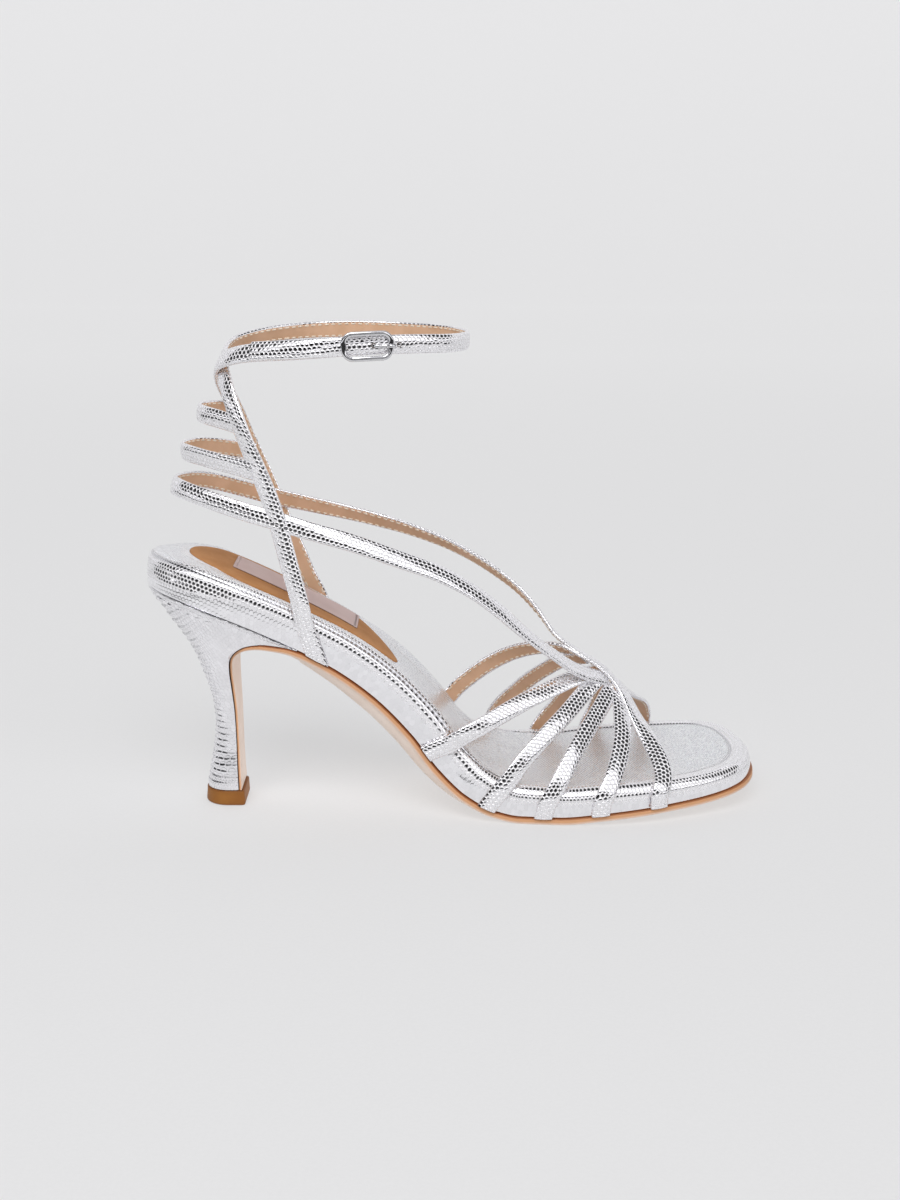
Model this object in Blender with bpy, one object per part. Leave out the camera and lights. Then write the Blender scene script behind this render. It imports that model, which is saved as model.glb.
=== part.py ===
"""Heeled sandal, right foot: covered footbed, leather outsole, flared heel and strap upper.

Frame: +X to the toe, +Y to the inner (medial) side, +Z up, floor at z = 0.
Tables are in millimetres; meshes are in metres.
"""
import math
from collections import namedtuple

import bmesh
import bpy
import numpy as np

for old in list(bpy.data.objects):
    bpy.data.objects.remove(old, do_unlink=True)

MM = 0.001

# ---------------------------------------------------------------- driving sizes (mm)
GAP = 0.3              # clearance between pieces that meet
OUTSOLE_T = 2.2        # leather outsole
FLAP_T = 1.0           # outsole end turned down the heel breast
WELT = 0.8             # outsole edge beyond the footbed
SOCK_T = 1.2           # heel sock
STRAP_W = 6.6          # strap width
STRAP_T = 1.8          # folded strap thickness
LIFT_H = 5.6           # top lift
HEEL_BASE = LIFT_H + GAP
RING_STEP = 5.4        # spacing of strap sections
BUCKLE_L, BUCKLE_W, BUCKLE_BAR = 17.4, 9.8, 1.2
PLAN_CENTRE = (2.3, 8.4)   # middle of the shoe's box in the tables' frame

# ---------------------------------------------------------------- the last
# One row per section: feather = underside of the footbed, wall = footbed edge height,
# crown = pillow of the footbed top above its wall.
Last = namedtuple("Last", "x feather wall crown lateral medial")
LAST = [
    Last(-112.3, 85.2, 10.4, 3.0, 0.4, 0.4),
    Last(-111.0, 85.1, 10.4, 3.0, -8.1, 8.6),
    Last(-107.5, 84.7, 10.4, 3.0, -15.0, 15.2),
    Last(-102.0, 83.7, 10.4, 3.0, -20.9, 20.9),
    Last(-94.0, 81.5, 10.4, 3.0, -25.0, 24.8),
    Last(-84.0, 77.7, 10.4, 2.5, -26.3, 26.0),
    Last(-70.0, 71.7, 10.4, 1.9, -26.0, 25.4),
    Last(-56.0, 64.9, 10.3, 1.6, -25.1, 23.7),
    Last(-42.0, 57.2, 10.1, 1.6, -24.5, 22.2),
    Last(-28.0, 46.7, 9.9, 1.6, -24.2, 21.6),
    Last(-14.0, 32.0, 9.7, 1.6, -24.3, 22.2),
    Last(-4.0, 18.6, 9.4, 1.6, -25.0, 25.4),
    Last(6.0, 9.3, 9.0, 1.6, -26.9, 33.4),
    Last(16.0, 4.3, 8.5, 1.6, -28.7, 39.6),
    Last(26.0, 2.5, 8.0, 1.6, -30.1, 43.0),
    Last(40.0, 2.5, 7.4, 1.6, -31.5, 45.3),
    Last(55.0, 3.9, 6.9, 1.6, -31.9, 47.0),
    Last(70.0, 5.2, 6.5, 1.6, -30.0, 48.3),
    Last(82.0, 6.1, 6.3, 1.6, -26.4, 48.6),
    Last(92.0, 6.9, 6.2, 1.6, -22.6, 47.9),
    Last(99.0, 7.6, 6.2, 1.6, -19.3, 46.2),
    Last(105.0, 8.4, 6.2, 1.6, -15.6, 42.8),
    Last(109.8, 9.1, 6.2, 1.6, -10.9, 37.4),
    Last(113.2, 9.7, 6.2, 1.6, -4.8, 29.6),
    Last(115.3, 10.1, 6.2, 1.6, 2.2, 19.4),
    Last(116.0, 10.2, 6.2, 1.6, 9.0, 9.0),
]

# Outsole end: from the top lift up the heel breast and forward under the seat lip.
Flap = namedtuple("Flap", "x z lateral medial")
FLAP = [
    Flap(-79.4, HEEL_BASE, -11.4, 5.5),
    Flap(-79.7, 14.0, -10.6, 5.2),
    Flap(-79.9, 25.0, -9.7, 5.1),
    Flap(-80.3, 37.0, -9.4, 7.0),
    Flap(-80.9, 46.0, -10.8, 9.5),
    Flap(-81.2, 53.0, -12.9, 12.0),
    Flap(-80.5, 58.5, -15.7, 15.0),
    Flap(-78.4, 62.0, -18.6, 18.0),
    Flap(-75.0, 64.8, -21.6, 21.0),
    Flap(-70.0, 66.1, -23.7, 23.0),
    Flap(-64.0, 65.9, -24.9, 24.0),
    Flap(-58.0, 64.9, -25.6, 24.3),
]
SOLE_FROM = -53.0      # forward of here the outsole lies on the footbed

# Depth of the rounded waist under the outsole edge.
Waist = namedtuple("Waist", "x depth")
WAIST = [Waist(-70, 0.0), Waist(-56, 1.6), Waist(-42, 3.6), Waist(-28, 4.6),
         Waist(-14, 4.4), Waist(-2, 3.0), Waist(10, 0.9), Waist(22, 0.0), Waist(120, 0.0)]

# Heel: sloped sections from above the seat down to the top lift.
Heel = namedtuple("Heel", "z back round half slope shift")
HEEL = [
    Heel(89.0, -112.4, 26.4, 26.4, -0.36, 0.0),
    Heel(84.5, -111.8, 26.2, 26.0, -0.36, 0.0),
    Heel(80.0, -108.4, 24.6, 25.0, -0.36, 0.0),
    Heel(74.0, -104.7, 22.4, 23.0, -0.35, 0.0),
    Heel(68.6, -101.0, 19.8, 20.4, -0.33, 0.0),
    Heel(62.8, -97.5, 16.8, 17.4, -0.30, -0.1),
    Heel(57.0, -94.7, 14.0, 14.6, -0.26, -0.2),
    Heel(52.0, -93.0, 11.8, 12.4, -0.22, -0.4),
    Heel(45.0, -90.6, 9.2, 10.0, -0.16, -0.7),
    Heel(37.0, -88.8, 7.2, 8.2, -0.10, -1.2),
    Heel(30.0, -88.4, 6.4, 7.4, -0.05, -1.8),
    Heel(22.0, -89.2, 6.6, 7.3, 0.0, -2.4),
    Heel(14.0, -90.6, 7.6, 7.9, 0.0, -2.8),
    Heel(4.0, -92.5, 9.0, 8.6, 0.0, -3.1),
]
LIP_TIP = -59.5        # front end of the heel's seat lip

# Heel sock outline on the footbed top.
Sock = namedtuple("Sock", "x lateral medial")
SOCK = [
    Sock(-99.8, 1.0, 1.0), Sock(-98.6, -5.4, 7.2), Sock(-95.0, -10.2, 11.8),
    Sock(-88.5, -14.4, 15.8), Sock(-78.0, -16.3, 17.3), Sock(-64.0, -15.0, 16.8),
    Sock(-52.0, -13.2, 15.6), Sock(-41.0, -11.6, 12.8), Sock(-36.0, -11.0, 8.8),
    Sock(-31.6, -10.2, 3.6), Sock(-28.4, -9.0, -1.6), Sock(-27.2, -5.4, -5.4),
]

# ---------------------------------------------------------------- straps
# foot rows: place on the footbed wall (x along the sole, h up the wall).
# run rows: middle of the strap through space.
Wall = namedtuple("Wall", "x h")
Run = namedtuple("Run", "x y z")
Strap = namedtuple("Strap", "name side foot run axis width")

LATERAL, MEDIAL = -1, 1
AXIS_FOOT = [(-72, 0, 113), (-20, 0, 79), (18, 2, 49), (45, 5, 22), (60, 7, 10), (95, 9, 4)]
AXIS_FAN = [(-20, 8, 46), (18, 12, 24), (45, 14, 8), (60, 14, 0), (95, 9, -4)]
AXIS_OUT = [(-72, 0, 113), (-20, -2, 79), (0, -8, 64), (18, -9, 48), (36, 4, 34), (48, 18, 22), (62, 18, 12), (95, 10, 4)]
AXIS_IN = [(-72, 0, 113), (-20, 2, 79), (0, 8, 64), (18, 10, 48), (36, 8, 34), (45, 5, 22), (60, 7, 10), (95, 9, 4)]
AXIS_LEG = [(-40, 0, 60), (-57, 0, 110), (-60, 0, 145), (-50, 0, 163), (-38, 0, 176)]

STRAPS = [
    Strap("fan_lateral_1", LATERAL, [Wall(-9.0, 0.2), Wall(-8.6, 5.0), Wall(-7.8, 9.0)], [
        Run(4.6, -26.8, 32.4), Run(10.5, -25.6, 35.2), Run(18.3, -22.0, 38.9),
        Run(29.6, -15.0, 43.2), Run(39.2, -8.4, 45.8), Run(46.5, -3.6, 47.7),
        Run(52.0, -0.8, 48.4)], AXIS_FAN, STRAP_W),
    Strap("fan_lateral_2", LATERAL, [Wall(13.4, 0.2), Wall(14.6, 4.2), Wall(16.2, 8.0)], [
        Run(22.4, -28.9, 17.4), Run(27.4, -26.6, 23.4), Run(35.0, -21.0, 30.4),
        Run(42.7, -14.0, 36.4), Run(49.2, -6.6, 41.6), Run(55.2, -0.2, 46.4)],
        AXIS_FAN, STRAP_W),
    Strap("fan_lateral_3", LATERAL, [Wall(34.2, 0.2), Wall(35.0, 3.8), Wall(36.4, 7.2)], [
        Run(40.4, -30.0, 16.6), Run(44.8, -24.8, 23.6), Run(50.0, -17.6, 30.2),
        Run(55.6, -9.0, 36.2), Run(59.4, -2.2, 40.4), Run(62.2, 3.0, 43.4)],
        AXIS_FAN, STRAP_W),
    Strap("fan_lateral_4", LATERAL, [Wall(55.0, 0.2), Wall(55.6, 3.6), Wall(56.6, 6.6)], [
        Run(59.0, -30.2, 16.0), Run(62.0, -24.0, 22.6), Run(64.0, -16.5, 29.4),
        Run(64.2, -8.0, 35.4), Run(64.2, -1.0, 39.8), Run(64.2, 4.0, 42.0)],
        AXIS_FAN, STRAP_W),
    Strap("fan_medial_1", MEDIAL, [Wall(-10.0, 0.2), Wall(-9.6, 5.0), Wall(-8.6, 9.0)], [
        Run(1.6, 26.2, 33.6), Run(6.6, 26.2, 38.2), Run(13.7, 25.0, 44.0),
        Run(21.4, 22.2, 49.2), Run(29.0, 18.2, 53.0), Run(36.5, 14.0, 54.8),
        Run(43.9, 10.0, 55.6), Run(50.4, 6.6, 53.0)], AXIS_FOOT, STRAP_W),
    Strap("fan_medial_2", MEDIAL, [Wall(10.0, 0.2), Wall(11.2, 4.2), Wall(12.8, 8.2)], [
        Run(17.4, 39.6, 19.6), Run(20.6, 37.4, 24.8), Run(26.0, 33.2, 31.4),
        Run(31.6, 28.2, 37.9), Run(37.2, 22.4, 43.6), Run(43.6, 15.4, 49.4),
        Run(50.8, 7.2, 52.6)], AXIS_FOOT, STRAP_W),
    Strap("fan_medial_3", MEDIAL, [Wall(33.6, 0.2), Wall(34.2, 3.8), Wall(35.2, 7.4)], [
        Run(39.0, 44.4, 17.0), Run(42.8, 41.0, 22.8), Run(46.2, 34.8, 29.8),
        Run(50.6, 25.2, 37.4), Run(54.4, 14.4, 44.6), Run(57.6, 6.0, 48.4)],
        AXIS_FOOT, STRAP_W),
    Strap("fan_medial_4", MEDIAL, [Wall(55.4, 0.2), Wall(55.6, 3.6), Wall(56.2, 6.8)], [
        Run(58.4, 45.6, 18.4), Run(60.0, 41.0, 25.2), Run(61.2, 32.8, 33.0),
        Run(61.2, 21.6, 39.6), Run(61.8, 11.4, 43.4), Run(62.0, 5.0, 43.9)],
        AXIS_FOOT, STRAP_W),
    Strap("instep_lateral", MEDIAL, [Wall(78.4, 0.2), Wall(78.5, 3.4), Wall(78.6, 6.4)], [
        Run(78.6, 47.0, 15.8), Run(77.8, 42.6, 21.2), Run(75.4, 34.0, 27.4),
        Run(70.8, 22.8, 33.6), Run(65.6, 11.8, 40.2), Run(60.0, 3.8, 45.2),
        Run(52.7, -2.2, 48.6), Run(45.5, -7.4, 53.2), Run(38.7, -12.2, 59.2),
        Run(33.0, -15.6, 64.1), Run(25.4, -19.2, 71.2), Run(18.1, -21.6, 78.3),
        Run(9.0, -23.2, 85.6), Run(-4.0, -24.2, 93.0), Run(-17.8, -24.8, 98.2),
        Run(-35.6, -25.0, 104.6), Run(-49.8, -24.9, 108.6), Run(-62.0, -24.2, 112.2),
        Run(-75.0, -21.2, 115.4), Run(-88.0, -16.2, 118.9), Run(-97.0, -9.0, 120.7),
        Run(-101.6, 0.0, 121.2), Run(-97.4, 9.2, 121.1), Run(-90.6, 16.2, 119.5),
        Run(-80.0, 21.2, 115.8), Run(-66.4, 23.6, 111.6)], AXIS_OUT, STRAP_W),
    Strap("instep_medial", LATERAL, [Wall(76.4, 0.2), Wall(76.6, 3.4), Wall(77.2, 6.4)], [
        Run(78.4, -26.4, 15.4), Run(77.8, -21.4, 20.4), Run(74.2, -13.2, 26.8),
        Run(69.6, -5.2, 33.8), Run(65.4, 1.4, 41.4), Run(58.0, 5.6, 49.4),
        Run(49.8, 7.4, 54.2), Run(44.2, 10.6, 57.6), Run(40.2, 13.6, 60.4),
        Run(34.6, 18.2, 67.4), Run(27.0, 22.0, 75.4), Run(19.3, 24.2, 81.2),
        Run(10.6, 25.2, 87.0), Run(-2.0, 25.6, 93.6), Run(-19.2, 25.4, 100.0),
        Run(-38.2, 25.0, 105.2), Run(-53.4, 24.4, 108.7), Run(-68.6, 23.0, 112.3)],
        AXIS_IN, STRAP_W),
    Strap("wrap_lateral", LATERAL, [Wall(-48.2, 0.2), Wall(-52.4, 5.0), Wall(-56.6, 9.6)], [
        Run(-53.4, -26.8, 81.0), Run(-56.6, -25.9, 93.6), Run(-59.4, -25.0, 104.6),
        Run(-62.1, -24.3, 114.6), Run(-66.3, -23.2, 126.2), Run(-70.4, -21.9, 135.8),
        Run(-74.2, -19.9, 145.0), Run(-77.6, -16.2, 154.0), Run(-80.2, -10.8, 161.0),
        Run(-81.7, -4.4, 165.8), Run(-81.9, 2.6, 168.8), Run(-79.6, 11.2, 171.0),
        Run(-72.4, 18.6, 172.7), Run(-59.6, 25.4, 174.0), Run(-38.0, 29.0, 174.5),
        Run(-15.6, 25.2, 174.1), Run(0.4, 14.8, 173.8), Run(6.4, 0.0, 173.6),
        Run(0.4, -14.8, 173.9), Run(-12.0, -23.8, 174.6), Run(-24.0, -28.4, 174.7),
        Run(-38.0, -30.7, 174.2), Run(-52.0, -29.2, 173.2), Run(-62.4, -25.8, 172.5),
        Run(-69.0, -22.8, 172.0)], AXIS_LEG, STRAP_W),
    Strap("wrap_medial", MEDIAL, [Wall(-47.2, 0.2), Wall(-51.2, 5.0), Wall(-55.4, 9.6)], [
        Run(-55.0, 25.8, 80.4), Run(-58.4, 25.9, 89.0), Run(-62.4, 25.5, 98.6),
        Run(-66.4, 24.8, 109.6), Run(-70.4, 23.6, 120.2), Run(-75.0, 21.0, 131.8),
        Run(-78.6, 17.0, 143.0), Run(-81.2, 11.8, 151.2), Run(-82.6, 6.0, 156.8),
        Run(-83.3, 0.0, 161.0), Run(-82.9, -6.2, 165.0), Run(-80.2, -12.8, 168.0),
        Run(-72.6, -19.6, 170.7), Run(-60.0, -25.2, 172.1), Run(-48.0, -28.2, 173.1),
        Run(-38.0, -29.0, 173.9), Run(-30.0, -28.4, 174.4)], AXIS_LEG, STRAP_W),
    Strap("rung_middle", 0, [], [
        Run(-69.6, -22.6, 129.6), Run(-76.4, -19.0, 130.8), Run(-84.0, -15.6, 132.1),
        Run(-92.0, -9.0, 133.1), Run(-97.8, 0.0, 133.4), Run(-93.4, 10.0, 133.4),
        Run(-86.0, 16.0, 132.0), Run(-79.4, 18.8, 130.6), Run(-73.6, 20.8, 129.4)],
        AXIS_LEG, STRAP_W),
    Strap("rung_top", 0, [], [
        Run(-74.8, -18.4, 145.4), Run(-78.8, -15.4, 146.2), Run(-83.4, -12.2, 147.0),
        Run(-88.0, -7.6, 147.5), Run(-91.4, 0.0, 147.7), Run(-88.4, 7.4, 147.5),
        Run(-84.2, 11.6, 147.0), Run(-79.0, 15.2, 146.2)], AXIS_LEG, STRAP_W),
]
BUCKLE_AT = (-28.4, -29.2, 174.6)   # middle of the buckle on the ankle strap


# ---------------------------------------------------------------- curves
def monotone(xs, ys):
    """Shape-preserving cubic through the rows: value and slope functions."""
    xs, ys = np.array(xs, float), np.array(ys, float)
    h = np.diff(xs)
    d = np.diff(ys) / h
    m = np.zeros(len(xs))
    for i in range(1, len(xs) - 1):
        if d[i - 1] * d[i] > 0:
            w1, w2 = 2 * h[i] + h[i - 1], h[i] + 2 * h[i - 1]
            m[i] = (w1 + w2) / (w1 / d[i - 1] + w2 / d[i])
    m[0], m[-1] = d[0], d[-1]

    def value(x):
        x = float(min(max(x, xs[0]), xs[-1]))
        i = int(min(max(np.searchsorted(xs, x) - 1, 0), len(h) - 1))
        t = (x - xs[i]) / h[i]
        return ((2 * t**3 - 3 * t**2 + 1) * ys[i] + (t**3 - 2 * t**2 + t) * h[i] * m[i]
                + (-2 * t**3 + 3 * t**2) * ys[i + 1] + (t**3 - t**2) * h[i] * m[i + 1])

    def slope(x, e=0.4):
        return (value(x + e) - value(x - e)) / (min(x + e, xs[-1]) - max(x - e, xs[0]))

    return value, slope


def spline(points, per=16, closed=False):
    """Centripetal Catmull-Rom through the points; returns dense points."""
    p = np.array(points, float)
    n = len(p)
    out = []
    spans = n if closed else n - 1
    for i in range(spans):
        if closed:
            q = [p[(i + k - 1) % n] for k in range(4)]
        else:
            q = [p[i - 1] if i else 2 * p[0] - p[1], p[i], p[i + 1],
                 p[i + 2] if i + 2 < n else 2 * p[-1] - p[-2]]
        t = [0.0]
        for a, b in zip(q, q[1:]):
            t.append(t[-1] + max(np.linalg.norm(b - a), 1e-6) ** 0.5)
        for k in range(per):
            s = t[1] + (t[2] - t[1]) * k / per
            a1 = (t[1] - s) / (t[1] - t[0]) * q[0] + (s - t[0]) / (t[1] - t[0]) * q[1]
            a2 = (t[2] - s) / (t[2] - t[1]) * q[1] + (s - t[1]) / (t[2] - t[1]) * q[2]
            a3 = (t[3] - s) / (t[3] - t[2]) * q[2] + (s - t[2]) / (t[3] - t[2]) * q[3]
            b1 = (t[2] - s) / (t[2] - t[0]) * a1 + (s - t[0]) / (t[2] - t[0]) * a2
            b2 = (t[3] - s) / (t[3] - t[1]) * a2 + (s - t[1]) / (t[3] - t[1]) * a3
            out.append((t[2] - s) / (t[2] - t[1]) * b1 + (s - t[1]) / (t[2] - t[1]) * b2)
    if not closed:
        out.append(p[-1])
    return np.array(out)


def lengths(pts):
    return np.concatenate([[0.0], np.cumsum(np.linalg.norm(np.diff(pts, axis=0), axis=1))])


def resample(pts, count):
    """Evenly spaced points along a dense polyline."""
    s = lengths(pts)
    t = np.linspace(0.0, s[-1], count)
    return np.stack([np.interp(t, s, pts[:, k]) for k in range(pts.shape[1])], 1)


def unit(v):
    return v / max(np.linalg.norm(v), 1e-9)


# ---------------------------------------------------------------- the last's surfaces
feather, feather_slope = monotone([r.x for r in LAST], [r.feather for r in LAST])
wall_height, _ = monotone([r.x for r in LAST], [r.wall for r in LAST])
crown, _ = monotone([r.x for r in LAST], [r.crown for r in LAST])
waist_depth, _ = monotone([r.x for r in WAIST], [r.depth for r in WAIST])


def outline_sides(rows):
    """Lateral and medial edge of a plan outline, tip to tip, as dense points."""
    lateral = [(r.x, r.lateral) for r in rows]
    medial = [(r.x, r.medial) for r in rows[1:-1]]
    loop = spline(lateral + medial[::-1], 16, closed=True)
    turn = (len(rows) - 1) * 16
    return loop[:turn + 1], np.vstack([loop[:1], loop[turn:][::-1]])


LAT_EDGE, MED_EDGE = outline_sides(LAST)


def plan_normals(loop):
    """Outward normals of a closed plan loop that runs lateral side first."""
    d = np.roll(loop, -1, 0) - np.roll(loop, 1, 0)
    n = np.stack([d[:, 1], -d[:, 0]], 1)
    return n / np.linalg.norm(n, axis=1)[:, None]


def on_last(x, y, h):
    """Point at plan (x, y), h above the feather surface along its normal."""
    k = feather_slope(x)
    r = math.hypot(1.0, k)
    return np.array([x - h * k / r, y, feather(x) + h / r])


def wall_at(side, x, h):
    """Point on the footbed's wall and the wall's outward normal there."""
    edge = LAT_EDGE if side == LATERAL else MED_EDGE
    spot = lambda u, v: on_last(u, float(np.interp(u, edge[:, 0], edge[:, 1])), v)
    n = unit(np.cross(spot(x + 2.0, h) - spot(x - 2.0, h), spot(x, h + 1.0) - spot(x, h)))
    return spot(x, h), n if n[1] * side > 0 else -n


# ---------------------------------------------------------------- mesh helpers
def paint(obj, colour, rough, metal):
    mat = bpy.data.materials.new(obj.name + "_finish")
    mat.use_nodes = True
    shader = mat.node_tree.nodes["Principled BSDF"]
    shader.inputs["Base Color"].default_value = (*colour, 1.0)
    shader.inputs["Roughness"].default_value = rough
    shader.inputs["Metallic"].default_value = metal
    obj.data.materials.append(mat)


def solid(name, verts, faces, smooth=50.0, collection=None):
    bm = bmesh.new()
    vs = [bm.verts.new(((p[0] - PLAN_CENTRE[0]) * MM, (p[1] - PLAN_CENTRE[1]) * MM, p[2] * MM))
          for p in verts]
    for f in faces:
        if len(set(f)) >= 3:
            bm.faces.new([vs[i] for i in f])
    bmesh.ops.remove_doubles(bm, verts=bm.verts, dist=0.00001)
    bmesh.ops.recalc_face_normals(bm, faces=bm.faces)
    mesh = bpy.data.meshes.new(name)
    bm.to_mesh(mesh)
    bm.free()
    obj = bpy.data.objects.new(name, mesh)
    (collection or bpy.context.scene.collection).objects.link(obj)
    mesh.shade_smooth()
    mesh.set_sharp_from_angle(angle=math.radians(smooth))
    return obj


def slab(name, lat, med, layers, place, columns=2):
    """Closed sheet over a plan outline. layers: (inset, height(u)) from under to top."""
    m = len(lat) - 1
    loop = np.vstack([lat, med[1:-1][::-1]])
    n = plan_normals(loop)
    count = len(loop)
    verts, faces = [], []
    for inset, height in layers:
        ring = loop - inset * n
        for (u, v), (u0, _) in zip(ring, loop):
            verts.append(place(u, v, height(u0)))
    for k in range(len(layers) - 1):
        a, b = k * count, (k + 1) * count
        for i in range(count):
            j = (i + 1) % count
            faces.append((a + i, a + j, b + j, b + i))
    for k in (0, len(layers) - 1):
        inset, height = layers[k]
        ring = loop - inset * n
        base = k * count
        rows = []
        for i in range(1, m):
            l, r = base + i, base + count - i
            row = [l]
            for c in range(1, columns):
                f = c / columns
                u, v = ring[i] * (1 - f) + ring[count - i] * f
                row.append(len(verts))
                verts.append(place(u, v, height(loop[i][0] * (1 - f) + loop[count - i][0] * f)))
            rows.append(row + [r])
        for a, b in zip(rows, rows[1:]):
            for c in range(columns):
                faces.append((a[c], a[c + 1], b[c + 1], b[c]))
        faces.append(tuple([base] + rows[0]))
        faces.append(tuple([base + m] + rows[-1][::-1]))
    return solid(name, verts, faces)


# ---------------------------------------------------------------- footbed and sock
M_SIDE = 44
lat_edge, med_edge = resample(LAT_EDGE, M_SIDE + 1), resample(MED_EDGE, M_SIDE + 1)
footbed = slab("footbed", lat_edge, med_edge, [
    (5.0, lambda x: 0.0),
    (0.7, lambda x: 0.0),
    (0.0, lambda x: 0.8),
    (-0.15, lambda x: 0.5 * wall_height(x)),
    (0.1, lambda x: wall_height(x) - 2.2),
    (0.9, lambda x: wall_height(x) - 0.7),
    (2.6, lambda x: wall_height(x) + 0.2 * crown(x)),
    (5.2, lambda x: wall_height(x) + 0.72 * crown(x)),
    (8.0, lambda x: wall_height(x) + crown(x)),
], on_last)
paint(footbed, (0.72, 0.71, 0.75), 0.3, 0.9)

sock_lat, sock_med = outline_sides(SOCK)
sock_top = lambda x: wall_height(x) + crown(x) + GAP
heel_sock = slab("heel_sock", resample(sock_lat, 25), resample(sock_med, 25), [
    (0.6, sock_top),
    (0.0, lambda x: sock_top(x) + 0.35),
    (0.15, lambda x: sock_top(x) + 0.75 * SOCK_T),
    (0.9, lambda x: sock_top(x) + SOCK_T),
], on_last)
paint(heel_sock, (0.52, 0.33, 0.18), 0.55, 0.0)

# ---------------------------------------------------------------- outsole with breast flap
flap_line = spline([(r.x, r.z) for r in FLAP] + [(SOLE_FROM, feather(SOLE_FROM) - GAP)], 12)
SOLE_TIP = LAST[-1].x + WELT
sole_x = np.linspace(SOLE_FROM, SOLE_TIP, 180)[1:]
sole_line = np.array([on_last(x, 0.0, -GAP)[[0, 2]] for x in sole_x])
path = np.vstack([flap_line, sole_line])
path_s = lengths(path)
s_join = path_s[len(flap_line) - 1]


def on_path(s, y, h):
    """Point on the outsole's upper surface line, h towards the foot."""
    e = 0.8
    a = np.array([np.interp(min(max(s - e, 0), path_s[-1]), path_s, path[:, k]) for k in (0, 1)])
    b = np.array([np.interp(min(max(s + e, 0), path_s[-1]), path_s, path[:, k]) for k in (0, 1)])
    p = np.array([np.interp(s, path_s, path[:, k]) for k in (0, 1)])
    t = unit(b - a)
    return np.array([p[0] - h * t[1], y, p[1] + h * t[0]])


def s_of_x(x):
    return float(np.interp(x, path[len(flap_line) - 1:, 0], path_s[len(flap_line) - 1:]))


flap_s = [path_s[12 * i] for i in range(len(FLAP))]
full = np.vstack([LAT_EDGE, MED_EDGE[1:-1][::-1]])
grown = full + WELT * plan_normals(full)
grown_lat = grown[:len(LAT_EDGE)]
grown_med = np.vstack([grown[:1], grown[len(LAT_EDGE) - 1:][::-1]])


def sole_side(edge, column):
    """Outsole edge as (distance along the outsole, y), breast end to toe tip."""
    rows = [(s, getattr(r, column)) for s, r in zip(flap_s, FLAP)]
    rows += [(s_of_x(x), y) for x, y in edge if x > SOLE_FROM]
    return np.array(rows)


end_y = 0.5 * (FLAP[0].lateral + FLAP[0].medial)
sole_lat = np.vstack([[(0.0, end_y)], sole_side(grown_lat, "lateral")])
sole_med = np.vstack([[(0.0, end_y)], sole_side(grown_med, "medial")])
sole_med[-1] = sole_lat[-1]


def keep_corner(side, count):
    """Even points along the side, with the square corner of the flap end kept."""
    return np.vstack([side[:1], resample(side[1:], count)])


def x_of_s(s):
    return float(np.interp(s, path_s[len(flap_line) - 1:], path[len(flap_line) - 1:, 0])) \
        if s > s_join else -70.0 + 14.0 * max(0.0, (s - s_join + 14.0) / 14.0)


def thick(s):
    f = min(max((s - s_join + 30.0) / 30.0, 0.0), 1.0)
    return FLAP_T + (OUTSOLE_T - FLAP_T) * f


outsole = slab("outsole", keep_corner(sole_lat, 54), keep_corner(sole_med, 54), [
    (3.6, lambda s: -thick(s) - 0.85 * waist_depth(x_of_s(s))),
    (1.5, lambda s: -thick(s) - 0.42 * waist_depth(x_of_s(s))),
    (0.35, lambda s: -thick(s)),
    (0.0, lambda s: -0.75 * thick(s)),
    (0.0, lambda s: 0.0),
    (3.6, lambda s: 0.0),
], on_path)
paint(outsole, (0.62, 0.40, 0.25), 0.5, 0.0)

# ---------------------------------------------------------------- heel and top lift
N_BACK, N_FRONT = 11, 3
HEEL_FRONT = -44.0


def heel_ring(row):
    """U-shaped section: round back, straight sides running forward."""
    side = [(row.back + row.round * (1 - math.cos(a)), row.half * math.sin(a))
            for a in np.linspace(0.0, math.pi / 2, N_BACK)]
    start = side[-1][0]
    side += [(start + (HEEL_FRONT - start) * k / N_FRONT, row.half * (1 - 0.04 * k / N_FRONT))
             for k in range(1, N_FRONT + 1)]
    loop = [(x, row.shift - y) for x, y in side] + [(x, row.shift + y) for x, y in side[:0:-1]]
    return [(x, y, row.z + row.slope * (x - row.back)) for x, y in loop]


rings = [heel_ring(r) for r in HEEL]
size = len(rings[0])
verts = [p for ring in rings for p in ring]
faces = [(k * size + i, k * size + (i + 1) % size, (k + 1) * size + (i + 1) % size,
          (k + 1) * size + i) for k in range(len(rings) - 1) for i in range(size)]
faces += [tuple(range(size)), tuple(range((len(rings) - 1) * size, len(rings) * size))]
heel = solid("heel", verts, faces)
paint(heel, (0.72, 0.71, 0.75), 0.3, 0.9)

# The heel is kept between the seat above, the flap in front and the top lift below.
front = []
for s in np.linspace(0.0, s_join, 44):
    p = on_path(s, 0.0, GAP)
    if p[0] <= LIP_TIP or p[2] < 50.0:
        front.append((p[0], p[2]))
front[0] = (front[0][0], HEEL_BASE)
top = []
for x in np.linspace(LIP_TIP, LAST[0].x, 26):
    p = on_last(x, 0.0, -GAP)
    top.append((p[0], p[2]))
profile = [(-125.0, HEEL_BASE)] + front + top + [(-125.0, top[-1][1])]
count = len(profile)
verts = [(x, -45.0, z) for x, z in profile] + [(x, 45.0, z) for x, z in profile]
faces = [(i, (i + 1) % count, count + (i + 1) % count, count + i) for i in range(count)]
faces += [tuple(range(count)), tuple(range(count, 2 * count))]
keeper = solid("heel_keeper", verts, faces)
keeper.hide_render = True
keeper.display_type = "WIRE"
cut = heel.modifiers.new("between_seat_and_flap", "BOOLEAN")
cut.operation = "INTERSECT"
cut.solver = "EXACT"
cut.object = keeper


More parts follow.
